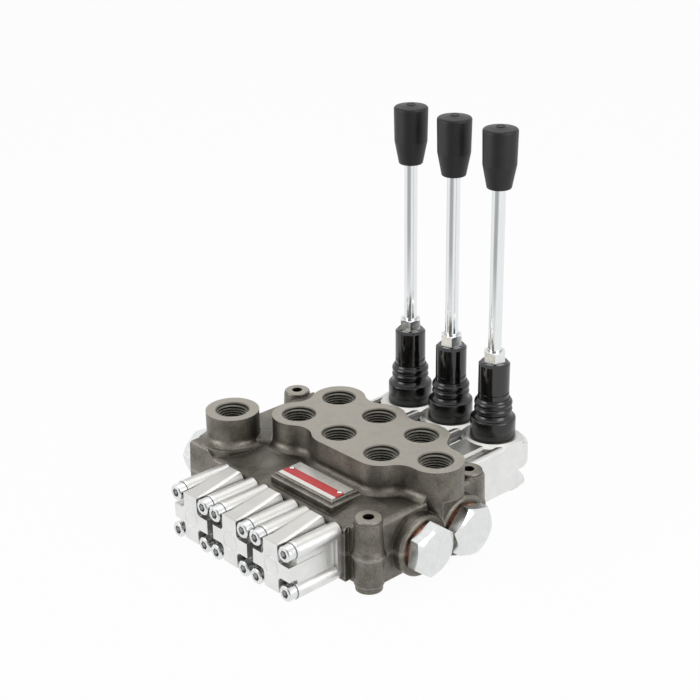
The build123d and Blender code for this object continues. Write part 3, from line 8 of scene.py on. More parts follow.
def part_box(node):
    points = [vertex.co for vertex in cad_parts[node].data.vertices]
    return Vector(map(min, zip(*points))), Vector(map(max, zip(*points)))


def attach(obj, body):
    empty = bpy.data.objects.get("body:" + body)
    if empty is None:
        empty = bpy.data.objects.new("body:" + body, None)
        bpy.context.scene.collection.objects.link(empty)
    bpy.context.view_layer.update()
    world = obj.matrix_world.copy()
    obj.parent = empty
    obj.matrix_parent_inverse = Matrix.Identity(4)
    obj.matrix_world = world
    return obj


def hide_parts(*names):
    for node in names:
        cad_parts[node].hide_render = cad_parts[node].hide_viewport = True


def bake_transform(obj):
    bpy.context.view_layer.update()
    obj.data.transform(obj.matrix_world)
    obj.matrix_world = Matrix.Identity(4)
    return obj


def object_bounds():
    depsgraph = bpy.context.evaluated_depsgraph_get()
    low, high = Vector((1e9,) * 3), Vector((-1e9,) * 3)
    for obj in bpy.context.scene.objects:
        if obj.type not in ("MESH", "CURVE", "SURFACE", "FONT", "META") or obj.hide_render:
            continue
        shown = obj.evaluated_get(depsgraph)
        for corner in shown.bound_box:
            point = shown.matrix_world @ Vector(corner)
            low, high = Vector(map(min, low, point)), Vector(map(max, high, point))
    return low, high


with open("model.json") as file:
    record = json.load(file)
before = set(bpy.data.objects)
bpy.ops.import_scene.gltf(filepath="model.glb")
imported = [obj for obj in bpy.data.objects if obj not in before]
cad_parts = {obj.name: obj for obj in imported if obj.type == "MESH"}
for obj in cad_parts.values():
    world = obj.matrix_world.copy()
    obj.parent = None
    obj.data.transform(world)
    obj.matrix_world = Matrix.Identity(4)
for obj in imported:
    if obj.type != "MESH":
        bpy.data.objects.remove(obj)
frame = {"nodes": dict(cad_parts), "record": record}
cad_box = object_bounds()
nodes = frame["nodes"]

# Metres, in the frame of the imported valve: X across the sections, -Y the spring caps,
# +Y the levers, +Z up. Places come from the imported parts' boxes and mounts.

# ---------------------------------------------------------------- sizes
MM = 0.001
SECTIONS = 3

# casting
LUG_DROP = 17.2 * MM              # lug faces below the port faces
RIM_DEPTH = 0.8 * MM              # countersunk port rims
SHADE_AND_OIL_LEVEL = 42 * MM               # the hollows' oil and painted shade are full above, and less so below
SHADE_AND_OIL_FADE = 18 * MM
WEAR_DROP = 3 * MM                # below the port faces, from where edges wear in full
PARTING_WANDER = 0.7 * MM         # how far the parting line strays up and down
PARTING_CORE = 0.5 * MM           # half of the line's bright middle
PARTING_EDGE = 1.8 * MM           # half of the line out to where it fades
LEVEL_SLACK = 0.05 * MM           # how near a face lies to its level

# port threads, G 1/2
THREAD_PITCH = 1.814 * MM
THREAD_DEPTH = 1.16 * MM
THREAD_CREST = 0.22               # flat of the crest, as a share of the pitch
THREAD_ROOT = 0.10                # gap between turns in the root, likewise
THREAD_BACK = 0.05 * MM           # root sunk in the wall
THREAD_START = 0.75 * MM          # below the port face
THREAD_TURNS = 8
THREAD_STEPS = 56                 # to a turn
FIRST_TURN_DARK = 1.2             # pitches below the start, down to which the turn is dark
FIRST_TURN_END = 1.5              # pitches below the start, where that has faded

# raised moulding marks
EJECTOR_RADIUS = 6.0 * MM
EJECTOR_WIRE = 0.16 * MM          # radius of the ring's round section
KNOB_MARK_RADIUS = 2.6 * MM
KNOB_MARK_WIRE = 0.3 * MM
RING_STEPS = 64
WIRE_STEPS = 8

# boots; levels are shares of the height
BOOT_NECK_WALL = 0.9 * MM
BOOT_WALL = 1.5 * BOOT_NECK_WALL  # skirt and folds
BOOT_GRIP = 10.2 * MM             # inside radius at the hub
BOOT_FOOT_EDGE = 0.4 * MM
SKIRT_TOP = 0.44
SHOULDER_TOP = 0.605
FOLD_SPLIT = 0.775
FOLD_TOP = 0.945
LIP_FOOT = 0.955
LIP_SLOPE = 0.15 * MM             # inwards at the lip's foot, and as much again at its top
LIP_EDGE = 0.2 * MM               # bevel round the top
SHOULDER_ROUND = 1.5 * MM
SHOULDER_TURN = 62                # degrees
SHOULDER_STEPS = 6
HOLLOW_IN = 0.62                  # powers that bow the hollow above the shoulder
HOLLOW_UP = 1.5
FOLD_DEPTH = 1.3 * MM
FOLD_FULLNESS = 0.5               # 1 is a sine wave, less is fuller
FOLD_STEPS = 14
BOOT_SIDES = 80

# bands of the nameplate, as shares of its width
PLATE_WHITE = 0.16
PLATE_RED = 0.56

# studio
FLOOR_SIZE = 6.0
FLOOR_GLOW = 0.96                 # share of the floor's look that is its own white
DIM_SIDE = (0.22, -0.976, 0.0)    # the way in which the studio is dim
DIM_REACH = (0.22, 0.40)          # where the floor turns dim, from the origin
DIM_FLOOR_SPAN = (0.70, 0.92)     # cosines from full light to fully dim
DIM_WALL_SPAN = (0.60, 0.85)
DIM_FLOOR = (0.45, 0.45, 0.45, 1)
DIM_WALL = (0.30, 0.30, 0.30, 1)
ROOM = (0.42, 0.42, 0.42, 1)      # what matt surfaces receive
WHITE = (1, 1, 1, 1)
LAMP_TARGET_Z = 0.06
CAMERA_PLACE = (0.63695, -0.60718, 0.48503)
CAMERA_AZIMUTH = 47.52            # degrees, 0 looks along +Y
CAMERA_ELEVATION = 23.47
CAMERA_ROLL = -0.84
CAMERA_LENS = 77.3                # mm, as the sensor
CAMERA_SENSOR = 36.0

# ---------------------------------------------------------------- colours
IRON_DARK = (0.100, 0.092, 0.075, 1)
IRON_LIGHT = (0.215, 0.202, 0.174, 1)
IRON_GLINT = (0.33, 0.315, 0.28, 1)
IRON_PIT = (0.030, 0.026, 0.020, 1)
IRON_OIL_AND_SHADE = (0.042, 0.036, 0.026, 1)
IRON_WORN = (0.42, 0.40, 0.36, 1)
IRON_RIM_SHADE = (0.20, 0.187, 0.16, 1)
MILLED_DARK = (0.33, 0.305, 0.26, 1)
MILLED_LIGHT = (0.41, 0.385, 0.335, 1)
MILLED_STAIN = (0.27, 0.25, 0.21, 1)
THREAD_DARK = (0.62, 0.59, 0.52, 1)
THREAD_LIGHT = (0.84, 0.81, 0.74, 1)
THREAD_SHADE = (0.02, 0.018, 0.014, 1)
DIE_CAST_DARK = (0.72, 0.72, 0.71, 1)
DIE_CAST_LIGHT = (0.80, 0.80, 0.79, 1)
DIE_CAST_FLOW_AND_REFLECTION = (0.50, 0.50, 0.49, 1)
DIE_CAST_DUST_AND_SHADE = (0.50, 0.49, 0.455, 1)
DIE_CAST_CORNER_SHADE = (0.22, 0.21, 0.20, 1)
ZINC_DARK = (0.66, 0.67, 0.67, 1)
ZINC_LIGHT = (0.84, 0.85, 0.85, 1)
ZINC_CORNER_SHADE = (0.07, 0.07, 0.065, 1)
CHROME_DARK = (0.74, 0.76, 0.77, 1)
CHROME_LIGHT = (0.86, 0.88, 0.89, 1)
BLACKENED_DARK = (0.0015, 0.0015, 0.0018, 1)
BLACKENED_LIGHT = (0.004, 0.004, 0.0045, 1)
RUBBER_DARK = (0.001, 0.001, 0.0011, 1)
RUBBER_BLOOM = (0.004, 0.004, 0.0043, 1)
KNOB_DARK = (0.006, 0.006, 0.007, 1)
KNOB_LIGHT = (0.012, 0.012, 0.014, 1)
COPPER_TARNISH = (0.30, 0.12, 0.08, 1)
COPPER_BRIGHT = (0.56, 0.29, 0.20, 1)
GROUND_DARK = (0.45, 0.45, 0.46, 1)
GROUND_LIGHT = (0.62, 0.62, 0.63, 1)
WIRE_DARK = (0.25, 0.25, 0.26, 1)
WIRE_LIGHT = (0.40, 0.40, 0.41, 1)
PLATE_SILVER_DARK = (0.66, 0.65, 0.61, 1)
PLATE_SILVER_LIGHT = (0.82, 0.81, 0.77, 1)
PLATE_RED_DARK = (0.50, 0.030, 0.036, 1)
PLATE_RED_LIGHT = (0.70, 0.06, 0.065, 1)
PLATE_WHITE_INK = (0.92, 0.90, 0.86, 1)
FLOOR_PALE = (0.8, 0.8, 0.8, 1)


# ---------------------------------------------------------------- shader helpers
def new_material(name, **values):
    """Material with a Principled shader; values are set on its own sockets."""
    material = bpy.data.materials.new(name)
    material.use_nodes = True
    shader = material.node_tree.nodes["Principled BSDF"]
    for socket, value in values.items():
        shader.inputs[socket.replace("_", " ")].default_value = value
    return material, material.node_tree, shader


def connect(tree, shader, **values):
    """Worked-out values linked to the shader's sockets."""
    for socket, value in values.items():
        tree.links.new(value, shader.inputs[socket.replace("_", " ")])


def plug_in(tree, socket, value):
    """A node's input takes either a link or a constant."""
    if isinstance(value, bpy.types.NodeSocket):
        tree.links.new(value, socket)
    elif value is not None:
        socket.default_value = value


def object_place(tree):
    """Object coordinates, in metres."""
    return tree.nodes.new("ShaderNodeTexCoord").outputs["Object"]


def stretched(tree, vector, scale):
    """Coordinates scaled along each axis."""
    mapping = tree.nodes.new("ShaderNodeMapping")
    mapping.inputs["Scale"].default_value = scale
    tree.links.new(vector, mapping.inputs["Vector"])
    return mapping.outputs["Vector"]


def calculate(tree, operation, first, second=None):
    """Math node."""
    node = tree.nodes.new("ShaderNodeMath")
    node.operation = operation
    plug_in(tree, node.inputs[0], first)
    plug_in(tree, node.inputs[1], second)
    return node.outputs[0]


def multiply(tree, *factors):
    """Product of two or more numbers."""
    product = factors[0]
    for factor in factors[1:]:
        product = calculate(tree, "MULTIPLY", product, factor)
    return product


def ramp(tree, value, start, full, least=0.0, most=1.0):
    """Number that goes from least, where the value is start, to most, where it is full, and holds
    beyond both."""
    node = tree.nodes.new("ShaderNodeMapRange")
    plug_in(tree, node.inputs["Value"], value)
    node.inputs["From Min"].default_value = start
    node.inputs["From Max"].default_value = full
    node.inputs["To Min"].default_value = least
    node.inputs["To Max"].default_value = most
    return node.outputs["Result"]


def spread(tree, pattern, least=0.0, most=1.0):
    """Noise, which lies mostly between 0.3 and 0.7, made to run from least to most."""
    return ramp(tree, pattern, start=0.3, full=0.7, least=least, most=most)


def noise(tree, place, size, detail=3.0, roughness=0.55):
    """Noise whose features are about size metres wide."""
    node = tree.nodes.new("ShaderNodeTexNoise")
    node.inputs["Scale"].default_value = 1.0 / size
    node.inputs["Detail"].default_value = detail
    node.inputs["Roughness"].default_value = roughness
    tree.links.new(place, node.inputs["Vector"])
    return node.outputs["Fac"]


def spots(tree, place, size, core, edge):
    """Scattered small spots about size metres apart, full at their core and gone at their edge."""
    node = tree.nodes.new("ShaderNodeTexVoronoi")
    node.inputs["Scale"].default_value = 1.0 / size
    tree.links.new(place, node.inputs["Vector"])
    return ramp(tree, node.outputs["Distance"], start=edge, full=core)


def blend_colors(tree, share, first, second):
    """Mix of two colours."""
    node = tree.nodes.new("ShaderNodeMix")
    node.data_type = "RGBA"
    plug_in(tree, node.inputs["Factor"], share)
    plug_in(tree, node.inputs["A"], first)
    plug_in(tree, node.inputs["B"], second)
    return node.outputs["Result"]


def blend_values(tree, share, first, second):
    """Mix of two numbers."""
    node = tree.nodes.new("ShaderNodeMix")
    plug_in(tree, node.inputs["Factor"], share)
    plug_in(tree, node.inputs["A"], first)
    plug_in(tree, node.inputs["B"], second)
    return node.outputs["Result"]


def bump(tree, height, depth, strength=1.0, below=None):
    """Normal of a relief whose depth is in metres, over another one below."""
    node = tree.nodes.new("ShaderNodeBump")
    node.inputs["Distance"].default_value = depth
    node.inputs["Strength"].default_value = strength
    tree.links.new(height, node.inputs["Height"])
    plug_in(tree, node.inputs["Normal"], below)
    return node.outputs["Normal"]


def dot_product(tree, first, second):
    """Dot product of two vectors."""
    node = tree.nodes.new("ShaderNodeVectorMath")
    node.operation = "DOT_PRODUCT"
    plug_in(tree, node.inputs[0], first)
    plug_in(tree, node.inputs[1], second)
    return node.outputs["Value"]


def axis_of(tree, vector, name):
    """One component of a vector."""
    node = tree.nodes.new("ShaderNodeSeparateXYZ")
    tree.links.new(vector, node.inputs[0])
    return node.outputs[name]


def surface_normal(tree, kind="Normal"):
    """The surface's own normal: Normal is the smooth one, True Normal the flat one."""
    return tree.nodes.new("ShaderNodeNewGeometry").outputs[kind]


def edge_wear(tree, radius, start, full):
    """1 along outer edges, 0 on the flats: how far the rounded normal leaves the true one, from
    the cosine where wear starts to the one where it is full."""
    bevel = tree.nodes.new("ShaderNodeBevel")
    bevel.samples = 4
    bevel.inputs["Radius"].default_value = radius
    turned = dot_product(tree, bevel.outputs["Normal"], surface_normal(tree))
    return ramp(tree, turned, start, full)


def recess(tree, reach):
    """1 deep in corners and hollows, 0 on open faces."""
    shelter = tree.nodes.new("ShaderNodeAmbientOcclusion")
    shelter.samples = 6
    shelter.inputs["Distance"].default_value = reach
    return ramp(tree, shelter.outputs["AO"], start=0.85, full=0.35)


def near_height(tree, height, level, half):
    """1 where the surface lies at a level, within half."""
    gap = calculate(tree, "ABSOLUTE", calculate(tree, "SUBTRACT", height, level))
    return calculate(tree, "LESS_THAN", gap, half)


def facing_up(tree, least):
    """1 on surfaces whose normal rises by at least a share."""
    rise = axis_of(tree, surface_normal(tree, "True Normal"), "Z")
    return calculate(tree, "GREATER_THAN", rise, least)


# ---------------------------------------------------------------- materials
def parting_line(tree, place, height, grain, parting_z):
    """Ground-off line round the casting at the mould's parting height, a little uneven."""
    wander = spread(tree, noise(tree, place, size=9 * MM), -PARTING_WANDER, PARTING_WANDER)
    lift = calculate(tree, "SUBTRACT", calculate(tree, "ADD", height, wander), parting_z)
    off = calculate(tree, "ABSOLUTE", lift)
    line = ramp(tree, off, start=PARTING_EDGE, full=PARTING_CORE, most=0.55)
    return multiply(tree, line, ramp(tree, grain, start=0.3, full=0.6, least=0.3))


def worn_edges(tree, height, grain, port_face_z):
    """Bright outer edges, except at the machined port rims."""
    edges = edge_wear(tree, radius=1.4 * MM, start=0.995, full=0.90)
    broken = ramp(tree, grain, start=0.3, full=0.6)
    below_rims = ramp(tree, height, start=port_face_z - RIM_DEPTH, full=port_face_z - WEAR_DROP)
    return multiply(tree, edges, broken, below_rims)


def shaded_oily_hollows(tree, height, patches):
    """Painted shade and oil in the hollows, most of it on the deck and above."""
    shade_and_oil_height = ramp(tree, height, start=SHADE_AND_OIL_LEVEL - SHADE_AND_OIL_FADE, full=SHADE_AND_OIL_LEVEL, least=0.3)
    patchy = ramp(tree, patches, start=0.2, full=0.6, least=0.6, most=0.95)
    return multiply(tree, recess(tree, reach=24 * MM), shade_and_oil_height, patchy)


def milled_face(tree, place):
    """Machined iron with fine cutter marks and faint stains."""
    marks = noise(tree, stretched(tree, place, (1.0, 0.05, 1.0)), size=0.25 * MM, detail=2.0)
    stains = noise(tree, place, size=7 * MM, detail=4.0, roughness=0.6)
    milled = blend_colors(tree, marks, MILLED_DARK, MILLED_LIGHT)
    stained = ramp(tree, stains, start=0.5, full=0.75, most=0.35)
    return blend_colors(tree, stained, milled, MILLED_STAIN)


def machined_faces(tree, height, port_face_z, lug_top_z):
    """1 on the milled port and lug faces."""
    port_faces = near_height(tree, height, port_face_z, LEVEL_SLACK)
    lug_faces = near_height(tree, height, lug_top_z, LEVEL_SLACK)
    return multiply(tree, calculate(tree, "MAXIMUM", port_faces, lug_faces), facing_up(tree, 0.95))


def port_rims(tree, height, port_face_z):
    """1 on the countersunk rims of the ports."""
    level = near_height(tree, height, port_face_z - RIM_DEPTH / 2, RIM_DEPTH / 2 + LEVEL_SLACK)
    return multiply(tree, level, facing_up(tree, 0.4))


def cast_iron(port_face_z, lug_top_z, parting_z):
    """Sand-cast iron: warm dark grey with sand grain, oily hollows darkened as painted shade, worn edges,
    a ground-off parting line, port rims darkened as painted shade, and bright machined faces."""
    material, tree, shader = new_material("sand_cast_iron", Metallic=0.85)
    place = object_place(tree)
    height = axis_of(tree, place, "Z")
    grain = noise(tree, place, size=0.9 * MM, detail=4.0, roughness=0.75)
    pits = spots(tree, place, size=1.7 * MM, core=0.12, edge=0.30)
    patches = noise(tree, place, size=16 * MM, detail=5.0, roughness=0.65)
    oil_and_shade = shaded_oily_hollows(tree, height, patches)
    wear = worn_edges(tree, height, grain, port_face_z)
    line = parting_line(tree, place, height, grain, parting_z)
    machined = machined_faces(tree, height, port_face_z, lug_top_z)

    skin = blend_colors(tree, ramp(tree, patches, start=0.35, full=0.65), IRON_DARK, IRON_LIGHT)
    glint = ramp(tree, grain, start=0.52, full=0.75, most=0.7)
    skin = blend_colors(tree, glint, skin, IRON_GLINT)
    skin = blend_colors(tree, multiply(tree, pits, 0.5), skin, IRON_PIT)
    # painted shade: the hollows are darkened; their oil also makes them glossier below
    skin = blend_colors(tree, oil_and_shade, skin, IRON_OIL_AND_SHADE)
    skin = blend_colors(tree, wear, skin, IRON_WORN)
    skin = blend_colors(tree, line, skin, IRON_WORN)
    # painted shade: the port rims are darkened so that they reflect less
    skin = blend_colors(tree, port_rims(tree, height, port_face_z), skin, IRON_RIM_SHADE)

    rough = blend_values(tree, oil_and_shade, spread(tree, patches, 0.28, 0.42), 0.24)
    sand = calculate(tree, "SUBTRACT", grain, multiply(tree, pits, 0.35))
    sand = multiply(tree, sand, calculate(tree, "SUBTRACT", 1.0, machined))
    swell = bump(tree, patches, depth=0.8 * MM, strength=0.5)
    connect(
        tree, shader,
        Base_Color=blend_colors(tree, machined, skin, milled_face(tree, place)),
        Roughness=blend_values(tree, machined, rough, 0.34),
        Normal=bump(tree, sand, depth=0.4 * MM, strength=0.45, below=swell),
    )
    return material


def cut_thread(port_face_z):
    """Thread cut in iron: bright on its crests, with painted shade darkening its roots; its first turn is
    darkened to the same colour.
    """
    material, tree, shader = new_material("cut_iron_thread", Metallic=0.9)
    place = object_place(tree)
    marks = noise(tree, place, size=0.6 * MM)
    color = blend_colors(tree, marks, THREAD_DARK, THREAD_LIGHT)
    depth = calculate(tree, "SUBTRACT", port_face_z, axis_of(tree, place, "Z"))
    first_turn = ramp(
        tree, depth,
        start=THREAD_START + FIRST_TURN_END * THREAD_PITCH,
        full=THREAD_START + FIRST_TURN_DARK * THREAD_PITCH, most=0.85,
    )
    # painted shade in the thread roots
    root_shade = multiply(tree, recess(tree, reach=1.3 * MM), 0.98)
    connect(
        tree, shader,
        Base_Color=blend_colors(tree, calculate(tree, "MAXIMUM", root_shade, first_turn), color, THREAD_SHADE),
        Roughness=spread(tree, marks, 0.24, 0.38),
    )
    return material


def die_casting():
    """Tumbled aluminium die casting: bright, cloudy, finely grained, with flow streaks that are partly
    painted reflections, dust and painted shade on its tops, and painted shade in its corners.
    """
    material, tree, shader = new_material("tumbled_die_casting", Metallic=1.0)
    place = object_place(tree)
    cloud = noise(tree, place, size=11 * MM)
    grain = noise(tree, place, size=0.5 * MM, roughness=0.6)
    # flow lines, partly painted reflection streaks
    flow_and_reflection_noise = noise(tree, stretched(tree, place, (1.0, 0.15, 1.0)), size=2.2 * MM)
    flow_and_reflection_streaks = ramp(tree, flow_and_reflection_noise, start=0.6, full=0.8, most=0.3)
    # dust on the tops, partly painted shade that darkens them
    dust_and_shade = ramp(tree, axis_of(tree, surface_normal(tree), "Z"), start=0.25, full=0.95, most=0.6)
    # painted shade in the corners
    corner_shade = multiply(tree, recess(tree, reach=3 * MM), 0.6)
    color = blend_colors(tree, spread(tree, cloud), DIE_CAST_DARK, DIE_CAST_LIGHT)
    color = blend_colors(tree, flow_and_reflection_streaks, color, DIE_CAST_FLOW_AND_REFLECTION)
    color = blend_colors(tree, dust_and_shade, color, DIE_CAST_DUST_AND_SHADE)
    color = blend_colors(tree, corner_shade, color, DIE_CAST_CORNER_SHADE)
    uneven = bump(tree, cloud, depth=0.5 * MM, strength=0.35)
    connect(
        tree, shader,
        Base_Color=color,
        Roughness=spread(tree, grain, 0.30, 0.44),
        Normal=bump(tree, grain, depth=0.06 * MM, strength=0.4, below=uneven),
    )
    return material


def zinc_plate():
    """Bright zinc plate, a little cloudy, with a fine grain and painted shade in its corners."""
    material, tree, shader = new_material("bright_zinc_plate", Metallic=1.0)
    place = object_place(tree)
    cloud = noise(tree, place, size=4 * MM)
    grain = noise(tree, place, size=0.3 * MM, detail=2.0)
    # painted shade in the corners
    corner_shade = multiply(tree, recess(tree, reach=2 * MM), 0.9)
    color = blend_colors(tree, cloud, ZINC_DARK, ZINC_LIGHT)
    connect(
        tree, shader,
        Base_Color=blend_colors(tree, corner_shade, color, ZINC_CORNER_SHADE),
        Roughness=spread(tree, cloud, 0.15, 0.27),
        Normal=bump(tree, grain, depth=0.015 * MM, strength=0.2),
    )
    return material


def chrome_plate():
    """Polished chrome rod with faint drawing marks along it."""
    material, tree, shader = new_material("polished_chrome", Metallic=1.0)
    along = stretched(tree, object_place(tree), (1.0, 1.0, 0.04))
    marks = noise(tree, along, size=0.5 * MM, detail=2.0)
    connect(
        tree, shader,
        Base_Color=blend_colors(tree, marks, CHROME_DARK, CHROME_LIGHT),
        Roughness=spread(tree, marks, 0.06, 0.14),
    )
    return material


def blackened_steel():
    """Turned steel, blackened and oiled."""
    material, tree, shader = new_material("blackened_steel", IOR=1.65)
    place = object_place(tree)
    cloud = noise(tree, place, size=3 * MM)
    rings = noise(tree, stretched(tree, place, (0.05, 0.05, 1.0)), size=0.2 * MM, detail=2.0)
    connect(
        tree, shader,
        Base_Color=blend_colors(tree, cloud, BLACKENED_DARK, BLACKENED_LIGHT),
        Roughness=spread(tree, cloud, 0.07, 0.15),
        Normal=bump(tree, rings, depth=0.02 * MM, strength=0.3),
    )
    return material


def moulded_rubber():
    """Black moulded rubber with a faint bloom."""
    material, tree, shader = new_material("black_rubber", IOR=1.55)
    place = object_place(tree)
    bloom = noise(tree, place, size=5 * MM, detail=4.0)
    grain = noise(tree, place, size=0.25 * MM, detail=2.0)
    connect(
        tree, shader,
        Base_Color=blend_colors(tree, bloom, RUBBER_DARK, RUBBER_BLOOM),
        Roughness=spread(tree, bloom, 0.20, 0.27),
        Normal=bump(tree, grain, depth=0.03 * MM, strength=0.4),
    )
    return material


def knob_plastic():
    """Dark grey thermoset knob with a fine matt grain."""
    material, tree, shader = new_material("dark_knob_plastic", IOR=1.42)
    place = object_place(tree)
    cloud = noise(tree, place, size=6 * MM)
    grain = noise(tree, place, size=0.35 * MM, roughness=0.6)
    connect(
        tree, shader,
        Base_Color=blend_colors(tree, cloud, KNOB_DARK, KNOB_LIGHT),
        Roughness=spread(tree, grain, 0.36, 0.50),
        Normal=bump(tree, grain, depth=0.10 * MM, strength=0.6),
    )
    return material


def copper():
    """Soft copper washer, a little tarnished."""
    material, tree, shader = new_material("tarnished_copper", Metallic=1.0)
    cloud = noise(tree, object_place(tree), size=3 * MM, detail=4.0)
    connect(
        tree, shader,
        Base_Color=blend_colors(tree, spread(tree, cloud), COPPER_TARNISH, COPPER_BRIGHT),
        Roughness=spread(tree, cloud, 0.25, 0.45),
    )
    return material


def plain_steel(name, dark, light, smoothest, roughest):
    """Plain steel, ground or drawn, with fine marks."""
    material, tree, shader = new_material(name, Metallic=1.0)
    marks = noise(tree, stretched(tree, object_place(tree), (1.0, 0.1, 1.0)), size=0.4 * MM)
    connect(
        tree, shader,
        Base_Color=blend_colors(tree, marks, dark, light),
        Roughness=spread(tree, marks, smoothest, roughest),
    )
    return material


def printed_plate():
    """Brushed aluminium nameplate with a white strip and a red band, left without lettering."""
    low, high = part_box("nameplate")
    material, tree, shader = new_material("printed_nameplate")
    place = object_place(tree)
    across = ramp(tree, axis_of(tree, place, "Y"), start=low.y, full=high.y)
    white_ink = calculate(tree, "LESS_THAN", across, PLATE_WHITE)
    any_ink = calculate(tree, "LESS_THAN", across, PLATE_RED)
    brushed = noise(tree, stretched(tree, place, (0.06, 1.0, 1.0)), size=0.25 * MM)
    mottle = noise(tree, place, size=1.2 * MM, detail=4.0)
    silver = blend_colors(tree, brushed, PLATE_SILVER_DARK, PLATE_SILVER_LIGHT)
    red = blend_colors(tree, mottle, PLATE_RED_DARK, PLATE_RED_LIGHT)
    color = blend_colors(tree, any_ink, silver, red)
    connect(
        tree, shader,
        Base_Color=blend_colors(tree, white_ink, color, PLATE_WHITE_INK),
        Metallic=multiply(tree, calculate(tree, "SUBTRACT", 1.0, any_ink), 0.7),
        Roughness=spread(tree, brushed, 0.26, 0.38),
    )
    return material


def paint_parts(finishes):
    """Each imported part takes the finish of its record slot."""
    for part in frame["record"]["subparts"]:
        for slot in nodes[part["node"]].material_slots:
            slot.material = finishes[part["material_slot"]]


# ---------------------------------------------------------------- mesh and geometry node helpers
def node_tree(name, sizes):
    """Geometry node group with a mesh in, a mesh out and named sizes."""
    tree = bpy.data.node_groups.new(name, "GeometryNodeTree")
    tree.interface.new_socket("Geometry", in_out="INPUT", socket_type="NodeSocketGeometry")
    tree.interface.new_socket("Geometry", in_out="OUTPUT", socket_type="NodeSocketGeometry")
    for label, kind in sizes.items():
        tree.interface.new_socket(label, in_out="INPUT", socket_type=kind)
    source = tree.nodes.new("NodeGroupInput")
    result = tree.nodes.new("NodeGroupOutput")
    return tree, source.outputs, result.inputs["Geometry"]


def add_node(tree, kind, **inputs):
    """Geometry node with its inputs linked or set."""
    node = tree.nodes.new(kind)
    for name, value in inputs.items():
        plug_in(tree, node.inputs[name.replace("_", " ")], value)
    return node


def finish_tree(tree, result, points, shape):
    """A shape set on every point, made real and given the piece's material, as each tree ends."""
    placed = add_node(tree, "GeometryNodeInstanceOnPoints", Points=points, Instance=shape)
    real = add_node(tree, "GeometryNodeRealizeInstances", Geometry=placed.outputs["Instances"])
    painted = add_node(tree, "GeometryNodeSetMaterial", Geometry=real.outputs[0])
    tree.links.new(painted.outputs[0], result)


def copies_tree():
    """One shape on every point."""
    tree, size, result = node_tree("copies", {"Shape": "NodeSocketObject"})
    shape = add_node(tree, "GeometryNodeObjectInfo", Object=size["Shape"])
    finish_tree(tree, result, size["Geometry"], shape.outputs["Geometry"])
    return tree


def ring_tree():
    """Thin raised ring about each point, lying in the plane given by its tilt."""
    tree, size, result = node_tree(
        "raised ring",
        {"Radius": "NodeSocketFloat", "Wire": "NodeSocketFloat", "Tilt": "NodeSocketVector"},
    )
    circle = "GeometryNodeCurvePrimitiveCircle"
    ring = add_node(tree, circle, Resolution=RING_STEPS, Radius=size["Radius"])
    wire = add_node(tree, circle, Resolution=WIRE_STEPS, Radius=size["Wire"])
    swept = add_node(tree, "GeometryNodeCurveToMesh", Curve=ring.outputs[0], Profile_Curve=wire.outputs[0])
    tilted = add_node(tree, "GeometryNodeTransform", Geometry=swept.outputs[0], Rotation=size["Tilt"])
    finish_tree(tree, result, size["Geometry"], tilted.outputs[0])
    return tree


def link_object(name, data):
    """Object in the scene, at the origin."""
    thing = bpy.data.objects.new(name, data)
    bpy.context.scene.collection.objects.link(thing)
    return thing


def mesh_of(name, points, faces):
    """Mesh from points and faces."""
    mesh = bpy.data.meshes.new(name)
    mesh.from_pydata(points, [], faces)
    return mesh


def make_piece(name, tree, places, material, **sizes):
    """Runs a tree on points at the places and keeps the result as a plain mesh."""
    holder = link_object(name + "_points", mesh_of(name + "_points", [tuple(p) for p in places], []))
    modifier = holder.modifiers.new("shape", "NODES")
    modifier.node_group = tree
    for item in tree.interface.items_tree:
        if item.in_out == "INPUT" and item.name in sizes:
            modifier[item.identifier] = sizes[item.name]
    for node in tree.nodes:
        if node.bl_idname == "GeometryNodeSetMaterial":
            node.inputs["Material"].default_value = material
    bpy.context.view_layer.update()
    depsgraph = bpy.context.evaluated_depsgraph_get()
    shaped = bpy.data.meshes.new_from_object(holder.evaluated_get(depsgraph), depsgraph=depsgraph)
    shaped.name = name
    holder.modifiers.clear()
    bpy.data.objects.remove(holder)
    return link_object(name, shaped)


# ---------------------------------------------------------------- port threads
def port_mounts():
    """The threaded ports' mounts."""
    return [m for m in frame["record"]["mounts"] if m["kind"] == "threaded_hole"]


def helix_ridge(radius):
    """One thread: a ridge that winds down a bore and stands in from its wall."""
    half_crest = THREAD_PITCH * THREAD_CREST / 2
    half_root = THREAD_PITCH * (1 - THREAD_ROOT) / 2
    ridge = [
        (radius - THREAD_DEPTH, half_crest),
        (radius - THREAD_DEPTH, -half_crest),
        (radius, -half_root),
        (radius + THREAD_BACK, -half_root),
        (radius + THREAD_BACK, half_root),
        (radius, half_root),
    ]
    count = len(ridge)
    steps = THREAD_TURNS * THREAD_STEPS
    points = []
    for step in range(steps + 1):
        angle = 2 * pi * step / THREAD_STEPS
        drop = THREAD_PITCH * step / THREAD_STEPS
        points += [(r * cos(angle), -r * sin(angle), z - drop) for r, z in ridge]
    faces = [tuple(reversed(range(count))), tuple(steps * count + i for i in range(count))]
    for step in range(steps):
        for i in range(count):
            here, after = step * count + i, step * count + (i + 1) % count
            faces.append((here, after, after + count, here + count))
    return link_object("thread_ridge", mesh_of("thread_ridge", points, faces))


def add_port_threads(material):
    """Threads in the eight ports."""
    top_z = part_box("valve_body")[1].z - THREAD_START - THREAD_PITCH / 2
    ridge = helix_ridge(port_mounts()[0]["dims"]["r_mm"] * MM)
    places = [(m["pos_m"][0], m["pos_m"][1], top_z) for m in port_mounts()]
    threads = make_piece("port_threads", copies_tree(), places, material, Shape=ridge)
    bpy.data.objects.remove(ridge)
    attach(threads, "valve")


